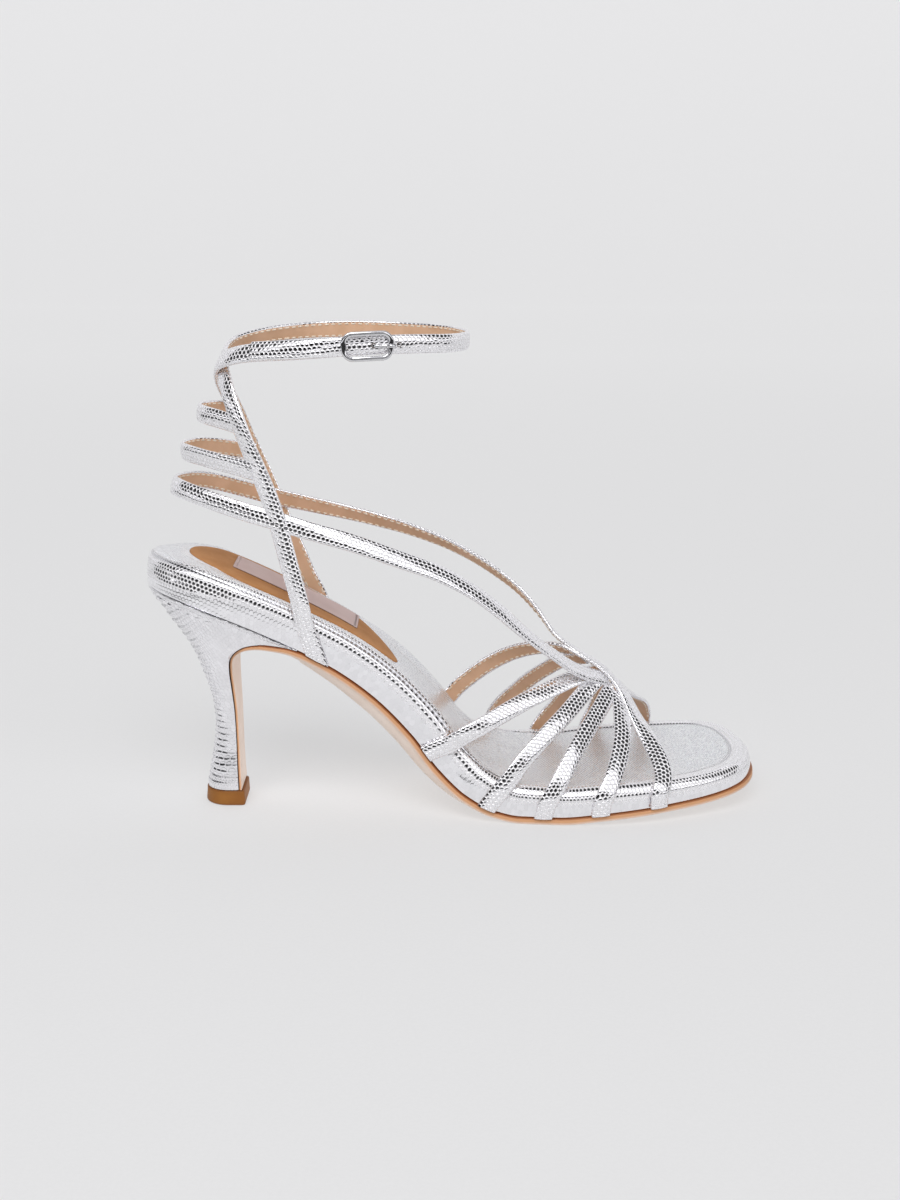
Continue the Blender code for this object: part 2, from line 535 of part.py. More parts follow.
def lift_ring(z, grow):
    """D-shaped section of the top lift: flat breast, round back."""
    back, front_x, half, shift = -92.4 - grow, -77.5 + 0.5 * grow, 8.7 + grow, -3.0
    side = [(back + 8.8 * (1 - math.cos(a)), half * math.sin(a))
            for a in np.linspace(0.0, math.pi / 2, 9)]
    side += [(front_x - 1.2, half), (front_x, half - 1.2)]
    loop = [(x, shift - y) for x, y in side] + [(x, shift + y) for x, y in side[:0:-1]]
    return [(x, y, z) for x, y in loop]


rings = [lift_ring(0.0, 0.1), lift_ring(0.5, 0.4), lift_ring(LIFT_H - 0.3, 0.0),
         lift_ring(LIFT_H, -0.2)]
size = len(rings[0])
verts = [p for ring in rings for p in ring]
faces = [(k * size + i, k * size + (i + 1) % size, (k + 1) * size + (i + 1) % size,
          (k + 1) * size + i) for k in range(len(rings) - 1) for i in range(size)]
faces += [tuple(range(size)), tuple(range((len(rings) - 1) * size, len(rings) * size))]
top_lift = solid("top_lift", verts, faces, 40.0)
paint(top_lift, (0.36, 0.20, 0.08), 0.5, 0.0)


# ---------------------------------------------------------------- straps
def nearest_on(axis, p):
    best, point = 1e9, None
    for a, b in zip(axis, axis[1:]):
        a, b = np.array(a, float), np.array(b, float)
        t = min(max(np.dot(p - a, b - a) / np.dot(b - a, b - a), 0.0), 1.0)
        q = a + t * (b - a)
        d = np.linalg.norm(p - q)
        if d < best:
            best, point = d, q
    return point


def strap_rows(strap):
    """Middle points and outward face directions of a strap."""
    pts, faces_out = [], []
    for r in strap.foot:
        p, n = wall_at(strap.side, r.x, r.h)
        pts.append(p + (GAP + 0.2 + 0.5 * STRAP_T) * n)
        faces_out.append(n)
    for r in strap.run:
        p = np.array(r, float)
        pts.append(p)
        faces_out.append(unit(p - nearest_on(strap.axis, p)))
    return np.array(pts), np.array(faces_out)


def strap_frames(strap, step):
    """Evenly spaced (point, tangent, across, outward) along the strap."""
    pts, out = strap_rows(strap)
    dense = spline(pts, 20)
    dirs = np.repeat(out[:-1], 20, 0) + (np.tile(np.arange(20) / 20.0, len(out) - 1)[:, None]
                                         * np.repeat(np.diff(out, axis=0), 20, 0))
    dirs = np.vstack([dirs, out[-1:]])
    s = lengths(dense)
    count = max(4, int(round(s[-1] / step)) + 1)
    t = np.linspace(0.0, s[-1], count)
    at = lambda q, a: np.stack([np.interp(q, s, a[:, k]) for k in range(3)], 1)
    mid, ahead, behind = at(t, dense), at(np.minimum(t + 0.6, s[-1]), dense), at(np.maximum(t - 0.6, 0), dense)
    face = at(t, dirs)
    frames = []
    for p, a, b, n in zip(mid, ahead, behind, face):
        tangent = unit(a - b)
        n = unit(n - np.dot(n, tangent) * tangent)
        frames.append((p, tangent, np.cross(n, tangent), n))
    return frames


SECTION = [(-0.5, -0.15), (-0.44, 0.34), (-0.2, 0.5), (0.2, 0.5), (0.44, 0.34), (0.5, -0.15),
           (0.42, -0.5), (-0.42, -0.5)]


def ribbon(strap, collection, thickness):
    frames = strap_frames(strap, RING_STEP)
    verts, faces = [], []
    for i, (p, t, b, n) in enumerate(frames):
        skew = 0.0
        if i == 0 and strap.foot:
            k = feather_slope(strap.foot[0].x)
            along = unit(np.array([1.0, 0.0, k]))
            if np.dot(along, b) < 0:
                along = -along
            skew = max(-1.1, min(1.1, np.dot(along, t) / max(np.dot(along, b), 0.2)))
        for u, h in SECTION:
            verts.append(p + b * (u * strap.width) + n * (h * thickness) + t * (skew * u * strap.width))
    size = len(SECTION)
    for k in range(len(frames) - 1):
        for i in range(size):
            j = (i + 1) % size
            faces.append((k * size + i, k * size + j, (k + 1) * size + j, (k + 1) * size + i))
    faces += [tuple(range(size)), tuple(range((len(frames) - 1) * size, len(frames) * size))]
    return solid(strap.name, verts, faces, 40.0, collection)


upper_straps = bpy.data.collections.new("upper_straps")
bpy.context.scene.collection.children.link(upper_straps)
for k, strap in enumerate(STRAPS[1:]):
    piece = ribbon(strap, upper_straps, STRAP_T * (1.0 + 0.006 * (k % 5)))
    piece.hide_render = True
    piece.display_type = "WIRE"
upper = ribbon(STRAPS[0], None, STRAP_T)
upper.name = "upper"
upper.data.name = "upper"
join = upper.modifiers.new("straps_joined", "BOOLEAN")
join.operation = "UNION"
join.solver = "EXACT"
join.operand_type = "COLLECTION"
join.collection = upper_straps
paint(upper, (0.74, 0.73, 0.77), 0.28, 0.9)

# ---------------------------------------------------------------- buckle
ankle = next(s for s in STRAPS if s.name == "wrap_lateral")
ankle_frames = strap_frames(ankle, 0.5)
ankle_p = np.array([f[0] for f in ankle_frames])
middle = int(np.argmin(np.linalg.norm(ankle_p - np.array(BUCKLE_AT), axis=1)))
STEP = np.linalg.norm(ankle_p[middle + 1] - ankle_p[middle])
RIDE = 0.5 * STRAP_T * 1.05 + GAP     # underside of the buckle over the strap's middle


def over_strap(along, across, lift):
    """Point over the ankle strap's outer face; along runs to the toe."""
    i = middle - along / STEP
    k = int(math.floor(i))
    f = i - k
    a, b = ankle_frames[k], ankle_frames[k + 1]
    p, t, s, n = [a[j] * (1 - f) + b[j] * f for j in range(4)]
    return p + s * across + n * lift


def tube(name, centres, ups, closed, radius, sides=8):
    """Round bar along the centre points."""
    count = len(centres)
    verts, faces = [], []
    for i in range(count):
        a = centres[(i - 1) % count] if closed or i else centres[i]
        b = centres[(i + 1) % count] if closed or i < count - 1 else centres[i]
        t = unit(b - a)
        n = unit(ups[i] - np.dot(ups[i], t) * t)
        s = np.cross(t, n)
        for k in range(sides):
            q = 2 * math.pi * (k + 0.5) / sides
            verts.append(centres[i] + radius * (math.cos(q) * s + math.sin(q) * n))
    for i in range(count if closed else count - 1):
        a, b = i * sides, ((i + 1) % count) * sides
        for k in range(sides):
            j = (k + 1) % sides
            faces.append((a + k, a + j, b + j, b + k))
    if not closed:
        faces += [tuple(range(sides)), tuple(range((count - 1) * sides, count * sides))]
    return solid(name, verts, faces, 60.0)


half_l, half_w, corner = 0.5 * (BUCKLE_L - BUCKLE_BAR), 0.5 * (BUCKLE_W - BUCKLE_BAR), 3.2
frame_plan = []
for cx, cy, start in ((1, 1, 0), (-1, 1, 90), (-1, -1, 180), (1, -1, 270)):
    for k in range(6):
        a = math.radians(start + 18 * k)
        frame_plan.append((cx * (half_l - corner) + corner * math.cos(a),
                           cy * (half_w - corner) + corner * math.sin(a)))
    if start in (0, 180):      # points along the long bars, which follow the strap's bend
        frame_plan += [(cx * (half_l - corner) * (1 - k / 2), cy * half_w) for k in (1, 2, 3)]
bar_lift = RIDE + 0.5 * BUCKLE_BAR
centres = [over_strap(u, v, bar_lift) for u, v in frame_plan]
ups = [over_strap(u, v, bar_lift + 1.0) - c for (u, v), c in zip(frame_plan, centres)]
buckle_frame = tube("buckle_frame", centres, ups, True, 0.5 * BUCKLE_BAR)
paint(buckle_frame, (0.8, 0.8, 0.82), 0.1, 1.0)

PRONG_R = 0.5
prong_plan = [(3.0, RIDE + PRONG_R), (5.0, RIDE + PRONG_R), (6.6, RIDE + 1.1),
              (7.6, RIDE + BUCKLE_BAR + GAP + PRONG_R), (8.6, RIDE + BUCKLE_BAR + GAP + PRONG_R),
              (9.4, RIDE + BUCKLE_BAR + GAP + PRONG_R - 0.1)]
centres = [over_strap(u, 0.1, h) for u, h in prong_plan]
ups = [over_strap(u, 0.1, h + 1.0) - c for (u, h), c in zip(prong_plan, centres)]
buckle_prong = tube("buckle_prong", centres, ups, False, PRONG_R)
paint(buckle_prong, (0.8, 0.8, 0.82), 0.1, 1.0)

# ---------------------------------------------------------------- assembly
shoe = bpy.data.objects.new("sandal", None)
bpy.context.scene.collection.objects.link(shoe)
for piece in (outsole, footbed, heel_sock, heel, top_lift, upper, buckle_frame, buckle_prong):
    piece.parent = shoe
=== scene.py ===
"""Looks of the heeled sandal: foil-leather straps with tan lining, wrapped footbed, heel, sole and buckle."""

import math
from collections import namedtuple

import bpy
import numpy as np
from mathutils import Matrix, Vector


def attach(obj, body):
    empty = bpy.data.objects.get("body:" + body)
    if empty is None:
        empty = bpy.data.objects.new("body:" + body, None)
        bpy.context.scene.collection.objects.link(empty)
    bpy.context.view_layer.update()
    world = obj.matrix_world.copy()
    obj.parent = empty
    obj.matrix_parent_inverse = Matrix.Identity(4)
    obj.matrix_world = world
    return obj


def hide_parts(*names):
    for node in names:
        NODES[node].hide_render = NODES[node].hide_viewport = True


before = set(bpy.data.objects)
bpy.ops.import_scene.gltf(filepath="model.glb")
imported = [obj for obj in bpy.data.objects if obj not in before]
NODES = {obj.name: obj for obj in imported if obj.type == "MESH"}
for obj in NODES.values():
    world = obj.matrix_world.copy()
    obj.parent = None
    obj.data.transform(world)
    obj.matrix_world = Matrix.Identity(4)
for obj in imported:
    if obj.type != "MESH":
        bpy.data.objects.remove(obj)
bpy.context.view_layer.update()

MM = 0.001
PLAN_CENTRE = np.array([2.3, 8.4, 0.0])     # tables' frame to the part's frame, mm
GAP = 0.3
OUTSOLE_T, FLAP_T, WELT = 2.2, 1.0, 0.8
SOCK_T, STRAP_W, STRAP_T = 1.2, 6.6, 1.8
LIFT_H = 5.6
HEEL_BASE = LIFT_H + GAP

# ------------------------------------------------------------------ the last (as in the part)
Last = namedtuple("Last", "x feather wall crown lateral medial")
LAST = [
    Last(-112.3, 85.2, 10.4, 3.0, 0.4, 0.4),
    Last(-111.0, 85.1, 10.4, 3.0, -8.1, 8.6),
    Last(-107.5, 84.7, 10.4, 3.0, -15.0, 15.2),
    Last(-102.0, 83.7, 10.4, 3.0, -20.9, 20.9),
    Last(-94.0, 81.5, 10.4, 3.0, -25.0, 24.8),
    Last(-84.0, 77.7, 10.4, 2.5, -26.3, 26.0),
    Last(-70.0, 71.7, 10.4, 1.9, -26.0, 25.4),
    Last(-56.0, 64.9, 10.3, 1.6, -25.1, 23.7),
    Last(-42.0, 57.2, 10.1, 1.6, -24.5, 22.2),
    Last(-28.0, 46.7, 9.9, 1.6, -24.2, 21.6),
    Last(-14.0, 32.0, 9.7, 1.6, -24.3, 22.2),
    Last(-4.0, 18.6, 9.4, 1.6, -25.0, 25.4),
    Last(6.0, 9.3, 9.0, 1.6, -26.9, 33.4),
    Last(16.0, 4.3, 8.5, 1.6, -28.7, 39.6),
    Last(26.0, 2.5, 8.0, 1.6, -30.1, 43.0),
    Last(40.0, 2.5, 7.4, 1.6, -31.5, 45.3),
    Last(55.0, 3.9, 6.9, 1.6, -31.9, 47.0),
    Last(70.0, 5.2, 6.5, 1.6, -30.0, 48.3),
    Last(82.0, 6.1, 6.3, 1.6, -26.4, 48.6),
    Last(92.0, 6.9, 6.2, 1.6, -22.6, 47.9),
    Last(99.0, 7.6, 6.2, 1.6, -19.3, 46.2),
    Last(105.0, 8.4, 6.2, 1.6, -15.6, 42.8),
    Last(109.8, 9.1, 6.2, 1.6, -10.9, 37.4),
    Last(113.2, 9.7, 6.2, 1.6, -4.8, 29.6),
    Last(115.3, 10.1, 6.2, 1.6, 2.2, 19.4),
    Last(116.0, 10.2, 6.2, 1.6, 9.0, 9.0),
]
Flap = namedtuple("Flap", "x z lateral medial")
FLAP = [
    Flap(-79.4, HEEL_BASE, -11.4, 5.5), Flap(-79.7, 14.0, -10.6, 5.2),
    Flap(-79.9, 25.0, -9.7, 5.1), Flap(-80.3, 37.0, -9.4, 7.0),
    Flap(-80.9, 46.0, -10.8, 9.5), Flap(-81.2, 53.0, -13.1, 12.2),
    Flap(-80.5, 58.5, -16.4, 15.7), Flap(-78.4, 62.0, -20.0, 19.2),
    Flap(-75.0, 64.8, -23.4, 22.6), Flap(-70.0, 66.1, -25.2, 24.2),
    Flap(-64.0, 65.9, -26.0, 24.8), Flap(-58.0, 64.9, -26.1, 24.7),
]
SOLE_FROM = -53.0
Waist = namedtuple("Waist", "x depth")
WAIST = [Waist(-70, 0.0), Waist(-56, 1.6), Waist(-42, 3.6), Waist(-28, 4.6),
         Waist(-14, 4.4), Waist(-2, 3.0), Waist(10, 0.9), Waist(22, 0.0), Waist(120, 0.0)]
Heel = namedtuple("Heel", "z back round half slope shift")
HEEL = [
    Heel(89.0, -112.4, 26.4, 26.4, -0.36, 0.0), Heel(84.5, -111.8, 26.2, 26.0, -0.36, 0.0),
    Heel(80.0, -108.4, 24.6, 25.0, -0.36, 0.0), Heel(74.0, -104.7, 22.4, 23.0, -0.35, 0.0),
    Heel(68.6, -101.0, 19.8, 20.4, -0.33, 0.0), Heel(62.8, -97.5, 16.8, 17.4, -0.30, -0.1),
    Heel(57.0, -94.7, 14.0, 14.6, -0.26, -0.2), Heel(52.0, -93.0, 11.8, 12.4, -0.22, -0.4),
    Heel(45.0, -90.6, 9.2, 10.0, -0.16, -0.7), Heel(37.0, -88.8, 7.2, 8.2, -0.10, -1.2),
    Heel(30.0, -88.4, 6.4, 7.4, -0.05, -1.8), Heel(22.0, -89.2, 6.6, 7.3, 0.0, -2.4),
    Heel(14.0, -90.6, 7.6, 7.9, 0.0, -2.8), Heel(4.0, -92.5, 9.0, 8.6, 0.0, -3.1),
]
LIP_TIP = -54.6
Sock = namedtuple("Sock", "x lateral medial")
SOCK = [
    Sock(-99.8, 1.0, 1.0), Sock(-98.6, -5.4, 7.2), Sock(-95.0, -10.2, 11.8),
    Sock(-88.5, -14.4, 15.8), Sock(-78.0, -16.3, 17.3), Sock(-64.0, -15.0, 16.8),
    Sock(-52.0, -13.2, 15.6), Sock(-41.0, -11.6, 12.8), Sock(-36.0, -11.0, 8.8),
    Sock(-31.6, -10.2, 3.6), Sock(-28.4, -9.0, -1.6), Sock(-27.2, -5.4, -5.4),
]

# ------------------------------------------------------------------ straps (as in the part)
Wall = namedtuple("Wall", "x h")
Run = namedtuple("Run", "x y z")
Strap = namedtuple("Strap", "name side foot run axis")
LATERAL, MEDIAL = -1, 1
AXIS_FOOT = [(-72, 0, 113), (-20, 0, 79), (18, 2, 49), (45, 5, 22), (60, 7, 10), (95, 9, 4)]
AXIS_FAN = [(-20, 8, 46), (18, 12, 24), (45, 14, 8), (60, 14, 0), (95, 9, -4)]
AXIS_OUT = [(-72, 0, 113), (-20, -2, 79), (0, -8, 64), (18, -9, 48), (36, 4, 34), (48, 18, 22), (62, 18, 12), (95, 10, 4)]
AXIS_IN = [(-72, 0, 113), (-20, 2, 79), (0, 8, 64), (18, 10, 48), (36, 8, 34), (45, 5, 22), (60, 7, 10), (95, 9, 4)]
AXIS_LEG = [(-40, 0, 60), (-57, 0, 110), (-60, 0, 145), (-50, 0, 163), (-38, 0, 176)]
STRAPS = [
    Strap("fan_lateral_1", LATERAL, [Wall(-9.0, 0.2), Wall(-8.6, 5.0), Wall(-7.8, 9.0)], [
        Run(4.6, -26.8, 32.4), Run(10.5, -25.6, 35.2), Run(18.3, -22.0, 38.9),
        Run(29.6, -15.0, 43.2), Run(39.2, -8.4, 45.8), Run(46.5, -3.6, 47.7),
        Run(52.0, -0.8, 48.4)], AXIS_FAN),
    Strap("fan_lateral_2", LATERAL, [Wall(13.4, 0.2), Wall(14.6, 4.2), Wall(16.2, 8.0)], [
        Run(22.4, -28.9, 17.4), Run(27.4, -26.6, 23.4), Run(35.0, -21.0, 30.4),
        Run(42.7, -14.0, 36.4), Run(49.2, -6.6, 41.6), Run(55.2, -0.2, 46.4)], AXIS_FAN),
    Strap("fan_lateral_3", LATERAL, [Wall(34.2, 0.2), Wall(35.0, 3.8), Wall(36.4, 7.2)], [
        Run(40.4, -30.0, 16.6), Run(44.8, -24.8, 23.6), Run(50.0, -17.6, 30.2),
        Run(55.6, -9.0, 36.2), Run(59.4, -2.2, 40.4), Run(62.2, 3.0, 43.4)], AXIS_FAN),
    Strap("fan_lateral_4", LATERAL, [Wall(55.0, 0.2), Wall(55.6, 3.6), Wall(56.6, 6.6)], [
        Run(59.0, -30.2, 16.0), Run(62.0, -24.0, 22.6), Run(64.0, -16.5, 29.4),
        Run(64.2, -8.0, 35.4), Run(64.2, -1.0, 39.8), Run(64.2, 4.0, 42.0)], AXIS_FAN),
    Strap("fan_medial_1", MEDIAL, [Wall(-10.0, 0.2), Wall(-9.6, 5.0), Wall(-8.6, 9.0)], [
        Run(1.6, 26.2, 33.6), Run(6.6, 26.2, 38.2), Run(13.7, 25.0, 44.0),
        Run(21.4, 22.2, 49.2), Run(29.0, 18.2, 53.0), Run(36.5, 14.0, 54.8),
        Run(43.9, 10.0, 55.6), Run(50.4, 6.6, 53.0)], AXIS_FOOT),
    Strap("fan_medial_2", MEDIAL, [Wall(10.0, 0.2), Wall(11.2, 4.2), Wall(12.8, 8.2)], [
        Run(17.4, 39.6, 19.6), Run(20.6, 37.4, 24.8), Run(26.0, 33.2, 31.4),
        Run(31.6, 28.2, 37.9), Run(37.2, 22.4, 43.6), Run(43.6, 15.4, 49.4),
        Run(50.8, 7.2, 52.6)], AXIS_FOOT),
    Strap("fan_medial_3", MEDIAL, [Wall(33.6, 0.2), Wall(34.2, 3.8), Wall(35.2, 7.4)], [
        Run(39.0, 44.4, 17.0), Run(42.8, 41.0, 22.8), Run(46.2, 34.8, 29.8),
        Run(50.6, 25.2, 37.4), Run(54.4, 14.4, 44.6), Run(57.6, 6.0, 48.4)], AXIS_FOOT),
    Strap("fan_medial_4", MEDIAL, [Wall(55.4, 0.2), Wall(55.6, 3.6), Wall(56.2, 6.8)], [
        Run(58.4, 45.6, 18.4), Run(60.0, 41.0, 25.2), Run(61.2, 32.8, 33.0),
        Run(61.2, 21.6, 39.6), Run(61.8, 11.4, 43.4), Run(62.0, 5.0, 43.9)], AXIS_FOOT),
    Strap("instep_lateral", MEDIAL, [Wall(78.4, 0.2), Wall(78.5, 3.4), Wall(78.6, 6.4)], [
        Run(78.6, 47.0, 15.8), Run(77.8, 42.6, 21.2), Run(75.4, 34.0, 27.4),
        Run(70.8, 22.8, 33.6), Run(65.6, 11.8, 40.2), Run(60.0, 3.8, 45.2),
        Run(52.7, -2.2, 48.6), Run(45.5, -7.4, 53.2), Run(38.7, -12.2, 59.2),
        Run(33.0, -15.6, 64.1), Run(25.4, -19.2, 71.2), Run(18.1, -21.6, 78.3),
        Run(9.0, -23.2, 85.6), Run(-4.0, -24.2, 93.0), Run(-17.8, -24.8, 98.2),
        Run(-35.6, -25.0, 104.6), Run(-49.8, -24.9, 108.6), Run(-62.0, -24.2, 112.2),
        Run(-75.0, -21.2, 115.4), Run(-88.0, -16.2, 118.9), Run(-97.0, -9.0, 120.7),
        Run(-101.6, 0.0, 121.2), Run(-97.4, 9.2, 121.1), Run(-90.6, 16.2, 119.5),
        Run(-80.0, 21.2, 115.8), Run(-66.4, 23.6, 111.6)], AXIS_OUT),
    Strap("instep_medial", LATERAL, [Wall(76.4, 0.2), Wall(76.6, 3.4), Wall(77.2, 6.4)], [
        Run(78.4, -26.4, 15.4), Run(77.8, -21.4, 20.4), Run(74.2, -13.2, 26.8),
        Run(69.6, -5.2, 33.8), Run(65.4, 1.4, 41.4), Run(58.0, 5.6, 49.4),
        Run(49.8, 7.4, 54.2), Run(44.2, 10.6, 57.6), Run(40.2, 13.6, 60.4),
        Run(34.6, 18.2, 67.4), Run(27.0, 22.0, 75.4), Run(19.3, 24.2, 81.2),
        Run(10.6, 25.2, 87.0), Run(-2.0, 25.6, 93.6), Run(-19.2, 25.4, 100.0),
        Run(-38.2, 25.0, 105.2), Run(-53.4, 24.4, 108.7), Run(-68.6, 23.0, 112.3)], AXIS_IN),
    Strap("wrap_lateral", LATERAL, [Wall(-48.2, 0.2), Wall(-52.4, 5.0), Wall(-56.6, 9.6)], [
        Run(-53.4, -26.8, 81.0), Run(-56.6, -25.9, 93.6), Run(-59.4, -25.0, 104.6),
        Run(-62.1, -24.3, 114.6), Run(-66.3, -23.2, 126.2), Run(-70.4, -21.9, 135.8),
        Run(-74.2, -19.9, 145.0), Run(-77.6, -16.2, 154.0), Run(-80.2, -10.8, 161.0),
        Run(-81.7, -4.4, 165.8), Run(-81.9, 2.6, 168.8), Run(-79.6, 11.2, 171.0),
        Run(-72.4, 18.6, 172.7), Run(-59.6, 25.4, 174.0), Run(-38.0, 29.0, 174.5),
        Run(-15.6, 25.2, 174.1), Run(0.4, 14.8, 173.8), Run(6.4, 0.0, 173.6),
        Run(0.4, -14.8, 173.9), Run(-12.0, -23.8, 174.6), Run(-24.0, -28.4, 174.7),
        Run(-38.0, -30.7, 174.2), Run(-52.0, -29.2, 173.2), Run(-62.4, -25.8, 172.5),
        Run(-69.0, -22.8, 172.0)], AXIS_LEG),
    Strap("wrap_medial", MEDIAL, [Wall(-47.2, 0.2), Wall(-51.2, 5.0), Wall(-55.4, 9.6)], [
        Run(-55.0, 25.8, 80.4), Run(-58.4, 25.9, 89.0), Run(-62.4, 25.5, 98.6),
        Run(-66.4, 24.8, 109.6), Run(-70.4, 23.6, 120.2), Run(-75.0, 21.0, 131.8),
        Run(-78.6, 17.0, 143.0), Run(-81.2, 11.8, 151.2), Run(-82.6, 6.0, 156.8),
        Run(-83.3, 0.0, 161.0), Run(-82.9, -6.2, 165.0), Run(-80.2, -12.8, 168.0),
        Run(-72.6, -19.6, 170.7), Run(-60.0, -25.2, 172.1), Run(-48.0, -28.2, 173.1),
        Run(-38.0, -29.0, 173.9), Run(-30.0, -28.4, 174.4)], AXIS_LEG),
    Strap("rung_middle", 0, [], [
        Run(-69.6, -22.6, 129.6), Run(-76.4, -19.0, 130.8), Run(-84.0, -15.6, 132.1),
        Run(-92.0, -9.0, 133.1), Run(-97.8, 0.0, 133.4), Run(-93.4, 10.0, 133.4),
        Run(-86.0, 16.0, 132.0), Run(-79.4, 18.8, 130.6), Run(-73.6, 20.8, 129.4)], AXIS_LEG),
    Strap("rung_top", 0, [], [
        Run(-74.8, -18.4, 145.4), Run(-78.8, -15.4, 146.2), Run(-83.4, -12.2, 147.0),
        Run(-88.0, -7.6, 147.5), Run(-91.4, 0.0, 147.7), Run(-88.4, 7.4, 147.5),
        Run(-84.2, 11.6, 147.0), Run(-79.0, 15.2, 146.2)], AXIS_LEG),
]
BUCKLE_AT = (-28.4, -29.2, 174.6)


# ------------------------------------------------------------------ curves
def monotone(rows, column):
    """Shape-preserving cubic through a table's column."""
    xs = np.array([r.x for r in rows], float)
    ys = np.array([getattr(r, column) for r in rows], float)
    h = np.diff(xs)
    d = np.diff(ys) / h
    m = np.zeros(len(xs))
    for i in range(1, len(xs) - 1):
        if d[i - 1] * d[i] > 0:
            w1, w2 = 2 * h[i] + h[i - 1], h[i] + 2 * h[i - 1]
            m[i] = (w1 + w2) / (w1 / d[i - 1] + w2 / d[i])
    m[0], m[-1] = d[0], d[-1]

    def value(x):
        x = np.clip(np.asarray(x, float), xs[0], xs[-1])
        i = np.clip(np.searchsorted(xs, x) - 1, 0, len(h) - 1)
        t = (x - xs[i]) / h[i]
        return ((2 * t**3 - 3 * t**2 + 1) * ys[i] + (t**3 - 2 * t**2 + t) * h[i] * m[i]
                + (-2 * t**3 + 3 * t**2) * ys[i + 1] + (t**3 - t**2) * h[i] * m[i + 1])

    return value


def spline(points, per=16, closed=False):
    """Centripetal Catmull-Rom through the points."""
    p = np.array(points, float)
    n = len(p)
    out = []
    for i in range(n if closed else n - 1):
        if closed:
            q = [p[(i + k - 1) % n] for k in range(4)]
        else:
            q = [p[i - 1] if i else 2 * p[0] - p[1], p[i], p[i + 1],
                 p[i + 2] if i + 2 < n else 2 * p[-1] - p[-2]]
        t = [0.0]
        for a, b in zip(q, q[1:]):
            t.append(t[-1] + max(np.linalg.norm(b - a), 1e-6) ** 0.5)
        s = (t[1] + (t[2] - t[1]) * np.arange(per) / per)[:, None]
        a1 = (t[1] - s) / (t[1] - t[0]) * q[0] + (s - t[0]) / (t[1] - t[0]) * q[1]
        a2 = (t[2] - s) / (t[2] - t[1]) * q[1] + (s - t[1]) / (t[2] - t[1]) * q[2]
        a3 = (t[3] - s) / (t[3] - t[2]) * q[2] + (s - t[2]) / (t[3] - t[2]) * q[3]
        b1 = (t[2] - s) / (t[2] - t[0]) * a1 + (s - t[0]) / (t[2] - t[0]) * a2
        b2 = (t[3] - s) / (t[3] - t[1]) * a2 + (s - t[1]) / (t[3] - t[1]) * a3
        out.append((t[2] - s) / (t[2] - t[1]) * b1 + (s - t[1]) / (t[2] - t[1]) * b2)
    if not closed:
        out.append(p[-1:])
    return np.vstack(out)


def lengths(pts):
    return np.concatenate([[0.0], np.cumsum(np.linalg.norm(np.diff(pts, axis=0), axis=1))])


def at_lengths(pts, s, t):
    return np.stack([np.interp(t, s, pts[:, k]) for k in range(pts.shape[1])], 1)


def resample(pts, count):
    s = lengths(pts)
    return at_lengths(pts, s, np.linspace(0.0, s[-1], count))


def unit(v):
    v = np.asarray(v, float)
    return v / np.maximum(np.linalg.norm(v, axis=-1, keepdims=True), 1e-9)


def smoothed(pts, steps, width):
    """Moving average that keeps the two ends in place."""
    out = np.array(pts, float)
    for _ in range(steps):
        pad = np.vstack([np.repeat(out[:1], width, 0), out, np.repeat(out[-1:], width, 0)])
        kernel = np.ones(2 * width + 1) / (2 * width + 1)
        mean = np.stack([np.convolve(pad[:, k], kernel, "valid") for k in range(out.shape[1])], 1)
        edge = np.minimum(np.arange(len(out)), np.arange(len(out))[::-1])
        f = np.clip(edge / (2.0 * width), 0, 1)[:, None]
        out = out * (1 - f) + mean * f
    return out


def step(a, b, x):
    """Smooth step from 0 at a to 1 at b."""
    t = np.clip((np.asarray(x, float) - a) / (b - a), 0, 1)
    return t * t * (3 - 2 * t)


# ------------------------------------------------------------------ the last's surfaces
feather = monotone(LAST, "feather")
wall_height = monotone(LAST, "wall")
crown = monotone(LAST, "crown")
waist_depth = monotone(WAIST, "depth")
X_END = (LAST[0].x, LAST[-1].x)


def feather_slope(x, e=0.4):
    a, b = np.clip(x - e, *X_END), np.clip(x + e, *X_END)
    return (feather(b) - feather(a)) / np.maximum(b - a, 1e-6)


def on_last(x, y, h):
    """Points at plan (x, y), h above the feather surface along its normal."""
    x, y, h = np.broadcast_arrays(np.asarray(x, float), np.asarray(y, float), np.asarray(h, float))
    k = feather_slope(x)
    r = np.hypot(1.0, k)
    return np.stack([x - h * k / r, y, feather(x) + h / r], -1)


def outline_sides(rows):
    lateral = [(r.x, r.lateral) for r in rows]
    medial = [(r.x, r.medial) for r in rows[1:-1]]
    loop = spline(lateral + medial[::-1], 16, closed=True)
    turn = (len(rows) - 1) * 16
    return loop[:turn + 1], np.vstack([loop[:1], loop[turn:][::-1]])


LAT_EDGE, MED_EDGE = outline_sides(LAST)


def plan_normals(loop):
    d = np.roll(loop, -1, 0) - np.roll(loop, 1, 0)
    return unit(np.stack([d[:, 1], -d[:, 0]], 1))


def wall_at(side, x, h):
    edge = LAT_EDGE if side == LATERAL else MED_EDGE
    spot = lambda u, v: on_last(u, np.interp(u, edge[:, 0], edge[:, 1]), v)
    n = unit(np.cross(spot(x + 2.0, h) - spot(x - 2.0, h), spot(x, h + 1.0) - spot(x, h)))
    return spot(x, h), n if n[1] * side > 0 else -n


# ------------------------------------------------------------------ meshes
def outward(obj):
    """Turns the faces outwards."""
    import bmesh
    bm = bmesh.new()
    bm.from_mesh(obj.data)
    bmesh.ops.recalc_face_normals(bm, faces=bm.faces)
    bm.to_mesh(obj.data)
    bm.free()
    return obj


